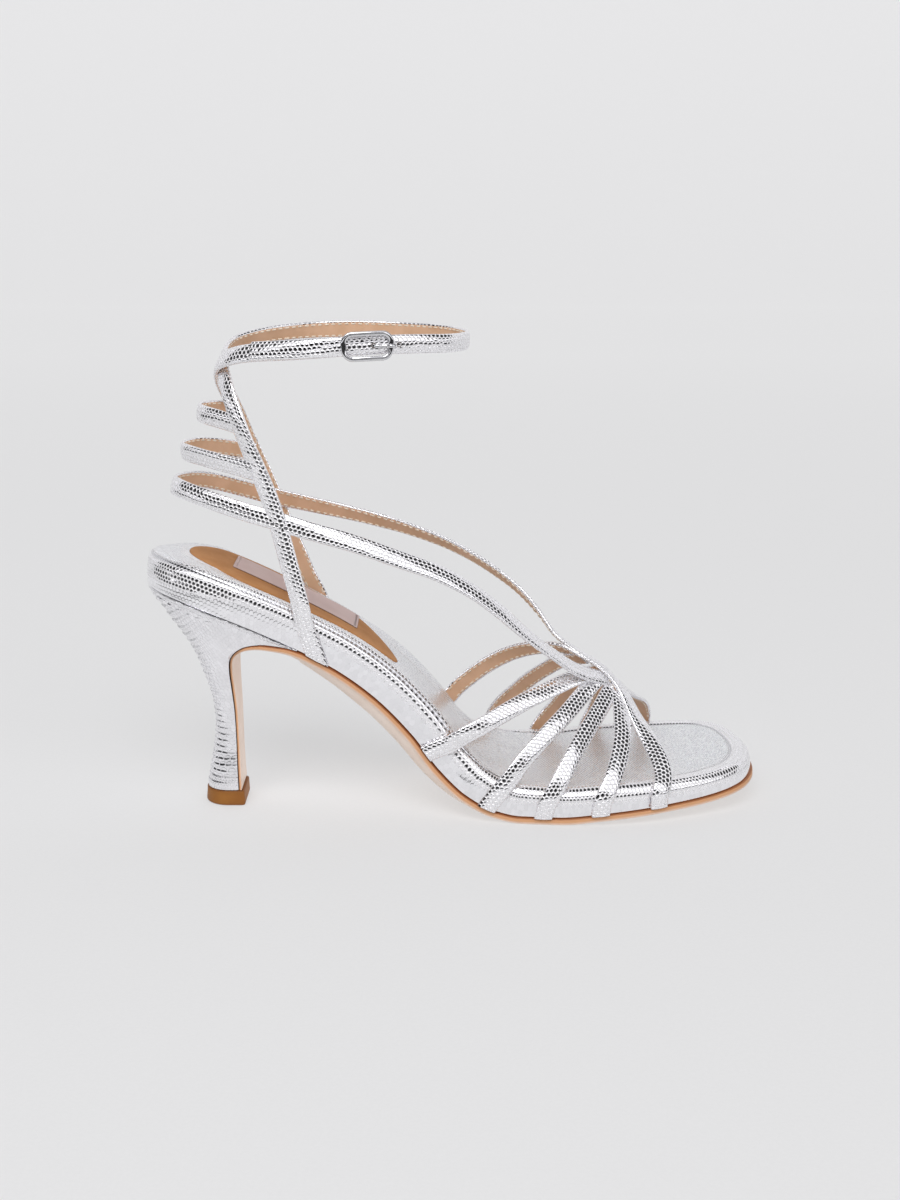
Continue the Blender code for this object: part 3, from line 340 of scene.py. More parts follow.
def grid_faces(rings, size, closed_ring=True, closed_path=False):
    """Quads between rings of equal size."""
    i = np.arange(size if closed_ring else size - 1)
    k = np.arange(rings if closed_path else rings - 1)
    a = k[:, None] * size + i[None, :]
    b = k[:, None] * size + (i[None, :] + 1) % size
    c = ((k[:, None] + 1) % rings) * size + (i[None, :] + 1) % size
    d = ((k[:, None] + 1) % rings) * size + i[None, :]
    return np.stack([a, b, c, d], -1).reshape(-1, 4)


def tri_count(obj):
    return sum(len(p.vertices) - 2 for p in obj.data.polygons)


# ------------------------------------------------------------------ material kit
class Mat:
    """Small helper to write a node material."""

    def __init__(self, name):
        self.mat = bpy.data.materials.new(name)
        self.mat.use_nodes = True
        self.tree = self.mat.node_tree
        self.shader = self.tree.nodes["Principled BSDF"]

    def node(self, kind, **values):
        n = self.tree.nodes.new(kind)
        for key, value in values.items():
            setattr(n, key, value)
        return n

    def link(self, a, b):
        self.tree.links.new(a, b)

    def put(self, socket, value):
        if isinstance(value, bpy.types.NodeSocket):
            self.link(value, socket)
        else:
            socket.default_value = value

    def math(self, op, a, b=0.0, c=0.0, clamp=False):
        n = self.node("ShaderNodeMath", operation=op, use_clamp=clamp)
        for s, v in zip(n.inputs, (a, b, c)):
            self.put(s, v)
        return n.outputs[0]

    def vec(self, op, a, b=(0, 0, 0)):
        n = self.node("ShaderNodeVectorMath", operation=op)
        self.put(n.inputs[0], a)
        self.put(n.inputs[1], b)
        return n.outputs[0]

    def split(self, v):
        n = self.node("ShaderNodeSeparateXYZ")
        self.link(v, n.inputs[0])
        return n.outputs

    def join(self, x=0.0, y=0.0, z=0.0):
        n = self.node("ShaderNodeCombineXYZ")
        for s, v in zip(n.inputs, (x, y, z)):
            self.put(s, v)
        return n.outputs[0]

    def attribute(self, name):
        n = self.node("ShaderNodeAttribute", attribute_name=name)
        return n

    def noise(self, vector, scale, detail=2.0, rough=0.5):
        n = self.node("ShaderNodeTexNoise")
        self.link(vector, n.inputs["Vector"])
        n.inputs["Scale"].default_value = scale
        n.inputs["Detail"].default_value = detail
        n.inputs["Roughness"].default_value = rough
        return n.outputs

    def ramp(self, fac, stops):
        n = self.node("ShaderNodeValToRGB")
        e = n.color_ramp.elements
        while len(e) < len(stops):
            e.new(0.5)
        for s, (at, colour) in zip(e, stops):
            s.position = at
            s.color = (*colour, 1.0)
        self.link(fac, n.inputs[0])
        return n.outputs[0]

    def mix(self, fac, a, b):
        n = self.node("ShaderNodeMix", data_type="RGBA")
        self.put(n.inputs[0], fac)
        for s, v in ((n.inputs[6], a), (n.inputs[7], b)):
            self.put(s, (*v, 1.0) if isinstance(v, tuple) else v)
        return n.outputs[2]

    def remap(self, value, lo, hi, to_lo=0.0, to_hi=1.0, smooth=True):
        n = self.node("ShaderNodeMapRange", interpolation_type="SMOOTHSTEP" if smooth else "LINEAR")
        for s, v in zip(n.inputs, (value, lo, hi, to_lo, to_hi)):
            self.put(s, v)
        return n.outputs[0]

    def bump(self, height, distance, strength=1.0, normal=None):
        n = self.node("ShaderNodeBump")
        n.inputs["Strength"].default_value = strength
        n.inputs["Distance"].default_value = distance
        self.link(height, n.inputs["Height"])
        if normal is not None:
            self.link(normal, n.inputs["Normal"])
        return n.outputs[0]

    def set(self, **values):
        for key, value in values.items():
            socket = self.shader.inputs[key.replace("_", " ")]
            if isinstance(value, tuple) and len(value) == 3:
                value = (*value, 1.0)
            self.put(socket, value)
        return self.mat


# ------------------------------------------------------------------ embossed scales
ROW = 0.87      # spacing of the rows of scales for a spacing of 1 along a row


def lattice(ix, iy, seed):
    """Fixed scattered value for a whole-number place."""
    v = np.sin(ix * 127.1 + iy * 311.7 + seed * 74.7) * 43758.5453
    return v - np.floor(v)


def drift(x, y, seed):
    """Smooth wandering value between -1 and 1."""
    ix, iy = np.floor(x), np.floor(y)
    fx, fy = x - ix, y - iy
    fx, fy = fx * fx * (3 - 2 * fx), fy * fy * (3 - 2 * fy)
    low = lattice(ix, iy, seed) * (1 - fx) + lattice(ix + 1, iy, seed) * fx
    high = lattice(ix, iy + 1, seed) * (1 - fx) + lattice(ix + 1, iy + 1, seed) * fx
    return 2 * (low * (1 - fy) + high * fy) - 1


def scale_place(along, across, pitch_along, pitch_across, seed, wander=0.3):
    """Wandering scale coordinates: rows of scales stand between whole numbers of the second."""
    a = along + wander * pitch_along * drift(along * 0.4, across * 0.4, seed)
    b = across + wander * pitch_across * drift(along * 0.4 + 9.0, across * 0.4, seed + 3)
    return a / pitch_along, b / pitch_across


def scale_dome(a, b):
    """Soft dome on every scale of a staggered pattern, 0 at its border and 1 at its middle."""
    a1, b1 = a - np.round(a), b - 2 * np.round(b / 2)
    a2, b2 = a - 0.5 - np.round(a - 0.5), b - 1 - 2 * np.round((b - 1) / 2)
    d = np.sqrt(np.minimum(a1 ** 2 + (ROW * b1) ** 2, a2 ** 2 + (ROW * b2) ** 2))
    return 1 - step(0.22, 0.56, d)


def grid_normals(p, closed_ring):
    """Normals of a grid of points (rings, size, 3)."""
    up = np.gradient(p, axis=0)
    if closed_ring:
        round_ = np.roll(p, -1, 1) - np.roll(p, 1, 1)
    else:
        round_ = np.gradient(p, axis=1)
    return unit(np.cross(round_, up))


def cells(m):
    """Nodes for the scales of a surface from its scale attribute: dome, distance from the middle, random, strength."""
    place = m.split(m.attribute("scale").outputs["Vector"])
    found = []
    for shift in (0.0, 1.0):
        a = m.math("SUBTRACT", place[0], 0.5 * shift)
        b = m.math("SUBTRACT", place[1], shift)
        col, row = m.math("ROUND", a), m.math("ROUND", m.math("MULTIPLY", b, 0.5))
        fa = m.math("SUBTRACT", a, col)
        fb = m.math("MULTIPLY", m.math("SUBTRACT", b, m.math("MULTIPLY", row, 2.0)), ROW)
        d = m.math("ADD", m.math("MULTIPLY", fa, fa), m.math("MULTIPLY", fb, fb))
        found.append((d, col, m.math("ADD", m.math("MULTIPLY", row, 2.0), shift), fa, fb))
    near = m.math("LESS_THAN", found[0][0], found[1][0])

    def pick(k):
        n = m.node("ShaderNodeMix", data_type="FLOAT")
        for socket, value in zip((n.inputs[0], n.inputs[2], n.inputs[3]), (near, found[1][k], found[0][k])):
            m.link(value, socket)
        return n.outputs[0]

    d, col, row, fa, fb = [pick(k) for k in range(5)]
    white = m.node("ShaderNodeTexWhiteNoise", noise_dimensions="2D")
    m.link(m.join(col, row, 0.0), white.inputs["Vector"])
    rnd = m.split(white.outputs["Color"])
    far = m.math("SQRT", d)
    plate = m.remap(far, 0.36, 0.55, 1.0, 0.0)
    bulge = m.math("SUBTRACT", 1.0, m.math("MULTIPLY", d, 3.0))
    tilt = m.math("ADD", m.math("MULTIPLY", fa, m.math("SUBTRACT", rnd[0], 0.5)),
                  m.math("MULTIPLY", fb, m.math("SUBTRACT", rnd[1], 0.5)))
    return plate, bulge, far, rnd, tilt, place[2]


def object_mm(m):
    return m.vec("MULTIPLY", m.node("ShaderNodeTexCoord").outputs["Object"], (1000, 1000, 1000))


def foil(name, colour, gap_colour, rough, relief, tilt_gain=1.2, bulge_gain=0.2, gap_from=0.37):
    """Embossed metallic leather: mirror foil on flat scales, dull in the narrow gaps between them."""
    m = Mat(name)
    plate, bulge, far, rnd, tilt, amount = cells(m)
    dull = m.attribute("dull").outputs["Fac"]
    line = m.attribute("line").outputs["Fac"]
    mm = object_mm(m)
    fine = m.noise(mm, 4.5, 3.0, 0.6)[0]
    broad = m.noise(mm, 0.22, 2.0)[0]
    gap = m.math("MULTIPLY", m.remap(far, gap_from, gap_from + 0.13), m.remap(amount, 0.0, 0.8))
    ripple = m.noise(m.vec("MULTIPLY", mm, (1.25, 0.7, 1.25)), 1.0, 2.5, 0.6)[0]
    tone = m.math("ADD", m.math("MULTIPLY", m.math("SUBTRACT", rnd[2], 0.5), 0.08),
                  m.math("MULTIPLY", m.math("SUBTRACT", broad, 0.5), 0.08))
    tone = m.math("ADD", tone, 1.0)
    shade = m.vec("MULTIPLY", m.join(*colour), m.join(tone, tone, tone))
    padded = m.mix(m.remap(ripple, 0.38, 0.62), (0.62, 0.65, 0.70), (0.95, 0.98, 1.0))
    shade = m.mix(dull, shade, padded)
    # The line attribute mixes in a dark grey: painted shade in the footbed's rim groove and at the steps between the
    # heel's rows of scales.
    shade = m.mix(line, m.mix(gap, shade, gap_colour), (0.50, 0.50, 0.53))
    m.set(Base_Color=shade, Metallic=m.math("SUBTRACT", 1.0, m.math("MULTIPLY", gap, 0.8)))
    smooth = m.remap(fine, 0.3, 0.7, rough * 0.8, rough * 1.2, False)
    m.set(Roughness=m.math("ADD", m.math("MULTIPLY", dull, 0.13), m.math("ADD", m.math("MULTIPLY", gap, 0.25), smooth)))
    height = m.math("ADD", plate, m.math("MULTIPLY", tilt, tilt_gain))
    height = m.math("ADD", height, m.math("MULTIPLY", bulge, bulge_gain))
    height = m.math("MULTIPLY", height, amount)
    height = m.math("ADD", height, m.math("MULTIPLY", fine, 0.05))
    height = m.math("ADD", height, m.math("MULTIPLY", ripple, m.math("MULTIPLY", dull, 1.7)))
    m.set(Normal=m.bump(height, relief * MM))
    return m.mat


def leather(name, colour, dark, rough, pores, edge_tone_and_shade=None, burnt=None, shine=0.3):
    """Plain lining or sole leather with pores and soft colour patches."""
    m = Mat(name)
    mm = object_mm(m)
    broad = m.noise(mm, 0.12, 3.0)[0]
    grain = m.noise(mm, pores, 4.0, 0.65)[0]
    shade = m.mix(m.remap(broad, 0.3, 0.72), colour, dark)
    shade = m.mix(m.remap(grain, 0.52, 0.75, 0.0, 0.35), shade, dark)
    # The edge attribute darkens the edge: the sole's edge tone and the lift's worn edge, and painted shade along the
    # sock's and the patch's edges.
    if edge_tone_and_shade is not None:
        edge = m.attribute("edge").outputs["Fac"]
        if burnt is not None:
            shade = m.mix(m.remap(edge, 0.0, 0.55), shade, edge_tone_and_shade)
            shade = m.mix(m.remap(edge, 0.6, 1.0), shade, burnt)
        else:
            shade = m.mix(edge, shade, edge_tone_and_shade)
    m.set(Base_Color=shade, Roughness=m.remap(grain, 0.3, 0.7, rough - 0.07, rough + 0.1, False))
    m.set(Normal=m.bump(grain, 0.05 * MM, 0.6))
    m.shader.inputs["Specular IOR Level"].default_value = shine
    return m.mat


SILVER = (0.93, 0.925, 0.95)
FOIL_STRAP = foil("strap_foil", SILVER, (0.96, 0.95, 0.97), 0.04, 0.13, 0.8, 0.1, 0.33)
FOIL_BED = foil("footbed_foil", SILVER, (0.95, 0.94, 0.96), 0.06, 0.13, 0.6, 0.1, 0.29)
FOIL_HEEL = foil("heel_foil", SILVER, (0.82, 0.81, 0.84), 0.16, 0.07)
LINING = leather("strap_lining", (0.73, 0.47, 0.31), (0.64, 0.40, 0.25), 0.55, 1.6)
# The sock's and the patch's darkest colours are painted shade along their edges.
SOCK_LEATHER = leather("sock_leather", (0.555, 0.275, 0.112), (0.48, 0.22, 0.078), 0.62, 1.3, (0.30, 0.13, 0.045), shine=0.12)
PATCH = leather("sock_patch", (0.72, 0.57, 0.545), (0.68, 0.525, 0.50), 0.6, 3.0, (0.16, 0.09, 0.06), shine=0.15)
SOLE = leather("sole_leather", (0.93, 0.80, 0.71), (0.89, 0.745, 0.645), 0.45, 0.9, (0.70, 0.37, 0.19), (0.32, 0.10, 0.028))
LIFT = leather("lift_rubber", (0.35, 0.14, 0.026), (0.29, 0.108, 0.02), 0.5, 2.2, (0.21, 0.075, 0.016))
THREAD = leather("thread", (0.90, 0.82, 0.70), (0.82, 0.72, 0.58), 0.6, 6.0)


def chrome():
    m = Mat("buckle_metal")
    mm = object_mm(m)
    haze = m.noise(mm, 1.2, 3.0)[0]
    m.set(Base_Color=m.mix(m.remap(haze, 0.35, 0.7), (0.74, 0.74, 0.76), (0.66, 0.66, 0.68)), Metallic=1.0,
          Roughness=m.remap(haze, 0.3, 0.7, 0.035, 0.09, False))
    m.set(Normal=m.bump(m.noise(mm, 0.9, 1.0)[0], 0.012 * MM))
    return m.mat


def painted_hole_shade():
    m = Mat("hole_painted_shade")
    mm = object_mm(m)
    # Near-black colour: painted shade standing in for the inside of each punched hole.
    m.set(Base_Color=m.mix(m.remap(m.noise(mm, 3.0, 2.0)[0], 0.3, 0.7), (0.09, 0.075, 0.065), (0.16, 0.13, 0.11)),
          Roughness=m.remap(m.noise(mm, 5.0, 1.0)[0], 0.3, 0.7, 0.55, 0.8, False))
    return m.mat


CHROME, HOLE_SHADE = chrome(), painted_hole_shade()


def finish(obj, node):
    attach(obj, "root")
    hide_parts(node)
    return obj


# ------------------------------------------------------------------ sheets over a plan outline
def sheet(lat, med, layers, place, columns, under=4, wave=None):
    """Closed sheet. layers: (inset, height) arrays round the outline, from under to top.

    Returns points, their plan positions, faces, the caps' end faces and the ring grid size."""
    m = len(lat) - 1
    loop = np.vstack([lat, med[1:-1][::-1]])
    n = plan_normals(loop)
    count = len(loop)
    plan = [loop - np.reshape(inset, (-1, 1)) * n for inset, _ in layers]
    pts = [place(q[:, 0], q[:, 1], np.broadcast_to(h, count)) for q, (_, h) in zip(plan, layers)]
    faces = [grid_faces(len(layers), count)]
    verts = np.concatenate(pts)
    plans = np.concatenate(plan)
    base_len = len(verts)
    extra, extra_plan = [], []
    loose = []
    for k, cols in ((0, under), (len(layers) - 1, columns)):
        ring, h = plan[k], np.broadcast_to(layers[k][1], count)
        i = np.arange(1, m)
        f = (np.arange(1, cols) / cols)[None, :, None]
        mid = ring[i][:, None, :] * (1 - f) + ring[count - i][:, None, :] * f
        hh = h[i][:, None] * (1 - f[..., 0]) + h[count - i][:, None] * f[..., 0]
        start = base_len + sum(len(e) for e in extra)
        extra.append(place(mid[..., 0].ravel(), mid[..., 1].ravel(), hh.ravel()))
        extra_plan.append(mid.reshape(-1, 2))
        ids = np.concatenate([(k * count + i)[:, None],
                              start + np.arange(len(i) * (cols - 1)).reshape(len(i), cols - 1),
                              (k * count + count - i)[:, None]], 1)
        a, b, c, d = ids[:-1, :-1], ids[:-1, 1:], ids[1:, 1:], ids[1:, :-1]
        quads = np.stack([a, b, c, d] if k else [a, d, c, b], -1).reshape(-1, 4)
        faces.append(quads)
        ends = [[k * count] + list(ids[0]), [k * count + m] + list(ids[-1][::-1])]
        loose += ends if k else [e[::-1] for e in ends]
    verts = np.concatenate([verts] + extra)
    plans = np.concatenate([plans] + extra_plan)
    return verts, plans, np.concatenate(faces), loose, count


def fast_mesh(name, verts, quads, loose, materials, slots=None, attrs=None, sharp=None):
    """Object from points in the tables' frame (mm), quads and a few other faces."""
    mesh = bpy.data.meshes.new(name)
    pts = ((np.asarray(verts, float) - PLAN_CENTRE) * MM).astype(np.float32)
    loops = np.concatenate([np.asarray(quads, np.int32).ravel()] + [np.asarray(f, np.int32) for f in loose])
    sizes = np.concatenate([np.full(len(quads), 4, np.int32), np.array([len(f) for f in loose], np.int32)])
    starts = np.concatenate([[0], np.cumsum(sizes)[:-1]]).astype(np.int32)
    mesh.vertices.add(len(pts))
    mesh.vertices.foreach_set("co", pts.ravel())
    mesh.loops.add(len(loops))
    mesh.loops.foreach_set("vertex_index", loops.astype(np.int32))
    mesh.polygons.add(len(sizes))
    mesh.polygons.foreach_set("loop_start", starts)
    for key, values in (attrs or {}).items():
        values = np.asarray(values, np.float32)
        if values.ndim == 2:
            mesh.attributes.new(key, "FLOAT_VECTOR", "POINT").data.foreach_set("vector", values.ravel())
        else:
            mesh.attributes.new(key, "FLOAT", "POINT").data.foreach_set("value", values)
    for m in materials:
        mesh.materials.append(m)
    if slots is not None:
        mesh.polygons.foreach_set("material_index", np.asarray(slots, np.int32))
    mesh.update(calc_edges=True)
    mesh.validate()
    mesh.shade_smooth()
    if sharp:
        mesh.set_sharp_from_angle(angle=math.radians(sharp))
    obj = bpy.data.objects.new(name, mesh)
    bpy.context.scene.collection.objects.link(obj)
    return obj


# ------------------------------------------------------------------ footbed
PAD_PITCH = 1.1
M_BED = 620
bed_lat, bed_med = resample(LAT_EDGE, M_BED + 1), resample(MED_EDGE, M_BED + 1)
bed_loop = np.vstack([bed_lat, bed_med[1:-1][::-1]])
bed_x = bed_loop[:, 0]
T, C = wall_height(bed_x), crown(bed_x)
groove = 1.25 + 5.4 * step(-12.0, 45.0, bed_x)
GROOVE_W, GROOVE_DEPTH = 0.34, 0.16 + 0.34 * step(-5.0, 40.0, bed_x)
bed_y = bed_loop[:, 1]
near = 1 - step(-12.0, 14.0, bed_y)         # 1 on the outer side, 0 on the inner
front = step(60.0, 105.0, bed_x)
roll_near, roll_far = 1.0 - 0.15 * front, 0.55 + 0.25 * step(-45.0, -20.0, bed_x) + 0.05 * front
roll = roll_near * near + roll_far * (1 - near)
top_near = 3.38 - 0.7 * (1 - step(-112.0, -92.0, bed_x)) - 1.4 * front
top_far = 0.8 + 1.4 * step(-45.0, -20.0, bed_x) - 0.3 * front
rim_top = T + top_near * near + top_far * (1 - near)
Bend = namedtuple("Bend", "until radius")
ROLL = [Bend(35.0, 5.6), Bend(60.0, 4.2), Bend(90.0, 3.5)]     # radius of the rolled rim by its surface angle


def roll_point(angle):
    """Inset and height of the rolled rim where its surface leans by the angle."""
    inset = height = start = 0.0
    for bend in ROLL:
        end = min(angle, bend.until)
        if end > start:
            u, v = math.radians(start), math.radians(end)
            inset += bend.radius * (math.cos(u) - math.cos(v))
            height += bend.radius * (math.sin(v) - math.sin(u))
        start = bend.until
    return inset, height


ROLL_IN, ROLL_H = roll_point(90.0)
wall_top = rim_top - roll * ROLL_H
bed_layers = [(5.0, 0.0 * T), (0.5, 0.0 * T), (0.16, 0.06 + 0 * T), (0.03, 0.3 + 0 * T)]
for f in np.linspace(0.0, 1.0, 10):
    bed_layers.append((0.04 - 0.16 * math.sin(math.pi * f), 0.7 + (wall_top - 1.1) * f))
N_WALL = len(bed_layers)
for angle in np.linspace(6.0, 90.0, 17):
    inset, height = roll_point(angle)
    bed_layers.append((roll * inset, wall_top + roll * height))
N_ROLL = len(bed_layers)
for inset in (0.45, 0.9, 1.35, 1.8, 2.25, 2.7, 3.15, 3.6, 4.1, 4.7, 5.4, 6.2, 7.2, 8.4):
    f = step(0.0, 6.2, inset)
    bed_layers.append((roll * ROLL_IN + inset, rim_top + (T + C - rim_top) * f))
bed_pts, bed_plan, bed_quads, bed_loose, bed_count = sheet(bed_lat, bed_med, bed_layers, on_last, 26)

rings = len(bed_layers)
grid = bed_pts[:rings * bed_count].reshape(rings, bed_count, 3)
bed_along = np.concatenate([lengths(np.vstack([bed_loop, bed_loop[:1]]))[:-1]])
bed_len = bed_along[-1] + np.linalg.norm(bed_loop[0] - bed_loop[-1])
profile = np.concatenate([np.zeros((1, bed_count)),
                          np.cumsum(np.linalg.norm(np.diff(grid, axis=0), axis=2), axis=0)])
pitch = bed_len / round(bed_len / 1.42)
across = 1.42 + 0.5 * step(-95.0, -62.0, bed_x)
ring_inset = np.array([np.broadcast_to(i, bed_count) for i, _ in bed_layers])
ring_height = np.array([np.broadcast_to(h, bed_count) for _, h in bed_layers])
ra, rb = scale_place(np.broadcast_to(bed_along, profile.shape), profile - profile[N_WALL - 1] - 1.25, pitch, across, 5, 0.06)
ring_plan = bed_plan[:rings * bed_count].reshape(rings, bed_count, 2)
inner = ring_inset > groove + 0.5
ra = np.where(inner, ring_plan[..., 0] / PAD_PITCH, ra)
rb = np.where(inner, ring_plan[..., 1] / (PAD_PITCH * ROW), rb)
low = -1.9 - 3.2 * (1 - step(-98.0, -74.0, bed_x))
on_roll = step(low, low + 1.6, ring_height - wall_top)
off_groove = np.where(np.arange(rings)[:, None] < 4, 9.0, ring_inset - groove)
cut = np.exp(-(off_groove / GROOVE_W) ** 2)
calm = 0.14 - 0.08 * step(-62.0, -46.0, bed_x)
amount = np.where(inner, 0.75, calm + (0.95 - calm) * on_roll) * (1 - 0.8 * cut)
dull = step(0.4, 1.6, off_groove) * (off_groove < 8.9)
dome = scale_dome(ra, rb)
bed_normals = grid_normals(grid, True)
relief = 0.02 * amount * dome * (np.arange(rings)[:, None] > 3) - GROOVE_DEPTH * cut

# Soft creases along the waist wall where the cover is pulled round the bend.
Crease = namedtuple("Crease", "x0 x1 height slant width depth")
CREASES = [Crease(-44, -26, 0.60, 0.012, 0.55, 0.10), Crease(-38, -16, 0.42, -0.010, 0.5, 0.12),
           Crease(-30, -4, 0.66, -0.006, 0.45, 0.10), Crease(-20, 2, 0.34, 0.008, 0.5, 0.12),
           Crease(-12, 6, 0.52, 0.012, 0.4, 0.09), Crease(24, 32, 0.50, 0.02, 0.4, 0.06),
           Crease(44, 52, 0.45, -0.02, 0.4, 0.06), Crease(90, 104, 0.55, 0.01, 0.5, 0.05)]
share = (profile - profile[4]) / np.maximum(wall_top - 1.1, 1.0)
for c in CREASES:
    f = (bed_x - c.x0) / (c.x1 - c.x0)
    body = step(0.0, 0.25, f) * (1 - step(0.75, 1.0, f))
    off = (share - c.height - c.slant * (bed_x - c.x0)) * (wall_top - 1.1)
    relief = relief - c.depth * body * np.exp(-(off / c.width) ** 2)

grid += bed_normals * relief[..., None]
bed_pts[:rings * bed_count] = grid.reshape(-1, 3)
cap = bed_plan[rings * bed_count:]
bed_scale = np.concatenate([
    np.stack([ra, rb, amount], -1).reshape(-1, 3),
    np.stack([cap[:, 0] / PAD_PITCH, cap[:, 1] / (PAD_PITCH * ROW), np.full(len(cap), 0.75)], -1)])
bed_dull = np.concatenate([dull.ravel(), np.ones(len(cap))])
# The line attribute here is painted shade along the rim groove.
footbed = fast_mesh("footbed_cover", bed_pts, bed_quads, bed_loose, [FOIL_BED],
                    attrs={"scale": bed_scale, "dull": bed_dull,
                           "line": np.concatenate([(0.85 * cut).ravel(), np.zeros(len(cap))])})
outward(footbed)
finish(footbed, "footbed")

# ------------------------------------------------------------------ heel sock and its bare patch
M_SOCK = 150
sock_lat, sock_med = [resample(e, M_SOCK + 1) for e in outline_sides(SOCK)]
sock_loop = np.vstack([sock_lat, sock_med[1:-1][::-1]])
sock_x = sock_loop[:, 0]
base = wall_height(sock_x) + crown(sock_x) - 0.55
sock_layers = [(0.5, base - 0.3), (0.05, base + 0.1), (0.0, base + 0.4), (0.06, base + 0.62), (0.2, base + 0.76),
               (0.5, base + 0.85), (1.1, base + 0.895), (2.4, base + 0.9)]
sock_pts, sock_plan, sock_quads, sock_loose, sock_count = sheet(sock_lat, sock_med, sock_layers, on_last, 18)
# Painted shade: the sock's lower edge and side are coloured darker.
sock_edge_shade = np.zeros(len(sock_pts))
sock_edge_shade[:sock_count * 5] = np.repeat([1.0, 1.0, 0.9, 0.7, 0.25], sock_count)
heel_sock = fast_mesh("heel_sock_pad", sock_pts, sock_quads, sock_loose, [SOCK_LEATHER], attrs={"edge": sock_edge_shade})
outward(heel_sock)
finish(heel_sock, "heel_sock")

Patch = namedtuple("Patch", "x0 x1 near far corner lift")
LABEL = Patch(-85.3, -41.2, -3.6, 14.0, 0.7, 0.42)


def half_round_rect(x0, x1, y, y_mid, r, n=8):
    """Half outline from the middle of one short side, along one long side, to the other."""
    sign = 1.0 if y > y_mid else -1.0
    a = np.linspace(0, math.pi / 2, n)
    first = [(x0 + r - r * math.cos(t), y - sign * r + sign * r * math.sin(t)) for t in a]
    last = [(x1 - r + r * math.sin(t), y - sign * r + sign * r * math.cos(t)) for t in a]
    line = [(x0 + r + (x1 - x0 - 2 * r) * k / 40, y) for k in range(1, 40)]
    return np.array([(x0, y_mid)] + first + line + last + [(x1, y_mid)])


label_mid = 0.5 * (LABEL.near + LABEL.far)
label_lat = half_round_rect(LABEL.x0, LABEL.x1, LABEL.near, label_mid, LABEL.corner)
label_med = half_round_rect(LABEL.x0, LABEL.x1, LABEL.far, label_mid, LABEL.corner)
label_loop = np.vstack([label_lat, label_med[1:-1][::-1]])
label_base = wall_height(label_loop[:, 0]) + crown(label_loop[:, 0]) + 0.32
label_pts, label_plan, label_quads, label_loose, label_count = sheet(
    label_lat, label_med,
    [(0.2, label_base), (0.0, label_base + 0.12), (0.04, label_base + 0.30), (0.22, label_base + 0.40),
     (0.6, label_base + LABEL.lift), (1.2, label_base + LABEL.lift)], on_last, 14)
# Painted shadow: the patch's lower edge and side are coloured dark, as the shadow of its thickness.
label_edge_shade = np.zeros(len(label_pts))
label_edge_shade[:label_count * 3] = np.repeat([1.0, 1.0, 0.55], label_count)
patch = fast_mesh("heel_sock_patch", label_pts, label_quads, label_loose, [PATCH], attrs={"edge": label_edge_shade})
outward(patch)
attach(patch, "root")

# ------------------------------------------------------------------ outsole with breast flap
flap_line = spline([(r.x, r.z) for r in FLAP] + [(SOLE_FROM, float(feather(SOLE_FROM)) - GAP)], 12)
sole_x = np.linspace(SOLE_FROM, LAST[-1].x + WELT, 400)[1:]
path = np.vstack([flap_line, on_last(sole_x, 0.0, -GAP)[:, [0, 2]]])
path_s = lengths(path)
s_join = path_s[len(flap_line) - 1]


def on_path(s, y, h):
    """Points on the outsole's upper surface line, h towards the foot."""
    at = lambda q: np.stack([np.interp(np.clip(q, 0, path_s[-1]), path_s, path[:, k]) for k in (0, 1)], -1)
    t = unit(at(s + 0.8) - at(s - 0.8))
    p = at(s)
    return np.stack([p[..., 0] - h * t[..., 1], np.broadcast_to(y, np.shape(s)), p[..., 1] + h * t[..., 0]], -1)


flap_s = [path_s[12 * i] for i in range(len(FLAP))]
full = np.vstack([LAT_EDGE, MED_EDGE[1:-1][::-1]])
grown = full + WELT * plan_normals(full)
grown_lat = grown[:len(LAT_EDGE)]
grown_med = np.vstack([grown[:1], grown[len(LAT_EDGE) - 1:][::-1]])


def sole_side(edge, column):
    rows = [(s, getattr(r, column)) for s, r in zip(flap_s, FLAP)]
    rows += [(float(np.interp(x, path[len(flap_line) - 1:, 0], path_s[len(flap_line) - 1:])), y)
             for x, y in edge if x > SOLE_FROM]
    return np.array(rows)


end_y = 0.5 * (FLAP[0].lateral + FLAP[0].medial)
sole_lat = sole_side(grown_lat, "lateral")
sole_med = sole_side(grown_med, "medial")
sole_med[-1] = sole_lat[-1]
# The flap's rows are few, so both sides are drawn through them smoothly before the toe part.
smooth_side = lambda side: np.vstack([spline(side[:len(FLAP) + 3], 8)[:-17], side[len(FLAP) + 1:]])
M_SOLE = 300
sole_lat = np.vstack([[(0.0, end_y)], resample(smooth_side(sole_lat), M_SOLE)])
sole_med = np.vstack([[(0.0, end_y)], resample(smooth_side(sole_med), M_SOLE)])
sole_loop = np.vstack([sole_lat, sole_med[1:-1][::-1]])
ss = sole_loop[:, 0]
thick = FLAP_T + (OUTSOLE_T - FLAP_T) * np.clip((ss - s_join + 30.0) / 30.0, 0, 1)
waist_x = np.where(ss > s_join, np.interp(ss, path_s[len(flap_line) - 1:], path[len(flap_line) - 1:, 0]),
                   -70.0 + 14.0 * np.maximum(0.0, (ss - s_join + 14.0) / 14.0))
belly = waist_depth(waist_x)
sole_layers = [(5.0, -thick - 0.95 * belly), (3.6, -thick - 0.85 * belly), (2.5, -thick - 0.66 * belly),
               (1.6, -thick - 0.44 * belly), (0.9, -thick - 0.2 * belly), (0.42, -thick), (0.16, -0.93 * thick),
               (0.03, -0.78 * thick), (0.0, -0.5 * thick), (0.03, -0.22 * thick), (0.14, -0.07 * thick),
               (0.35, 0.0 * thick), (3.6, 0.0 * thick)]
sole_pts, sole_plan, sole_quads, sole_loose, sole_count = sheet(sole_lat, sole_med, sole_layers, on_path, 4, 12)
sole_edge = np.zeros(len(sole_pts))
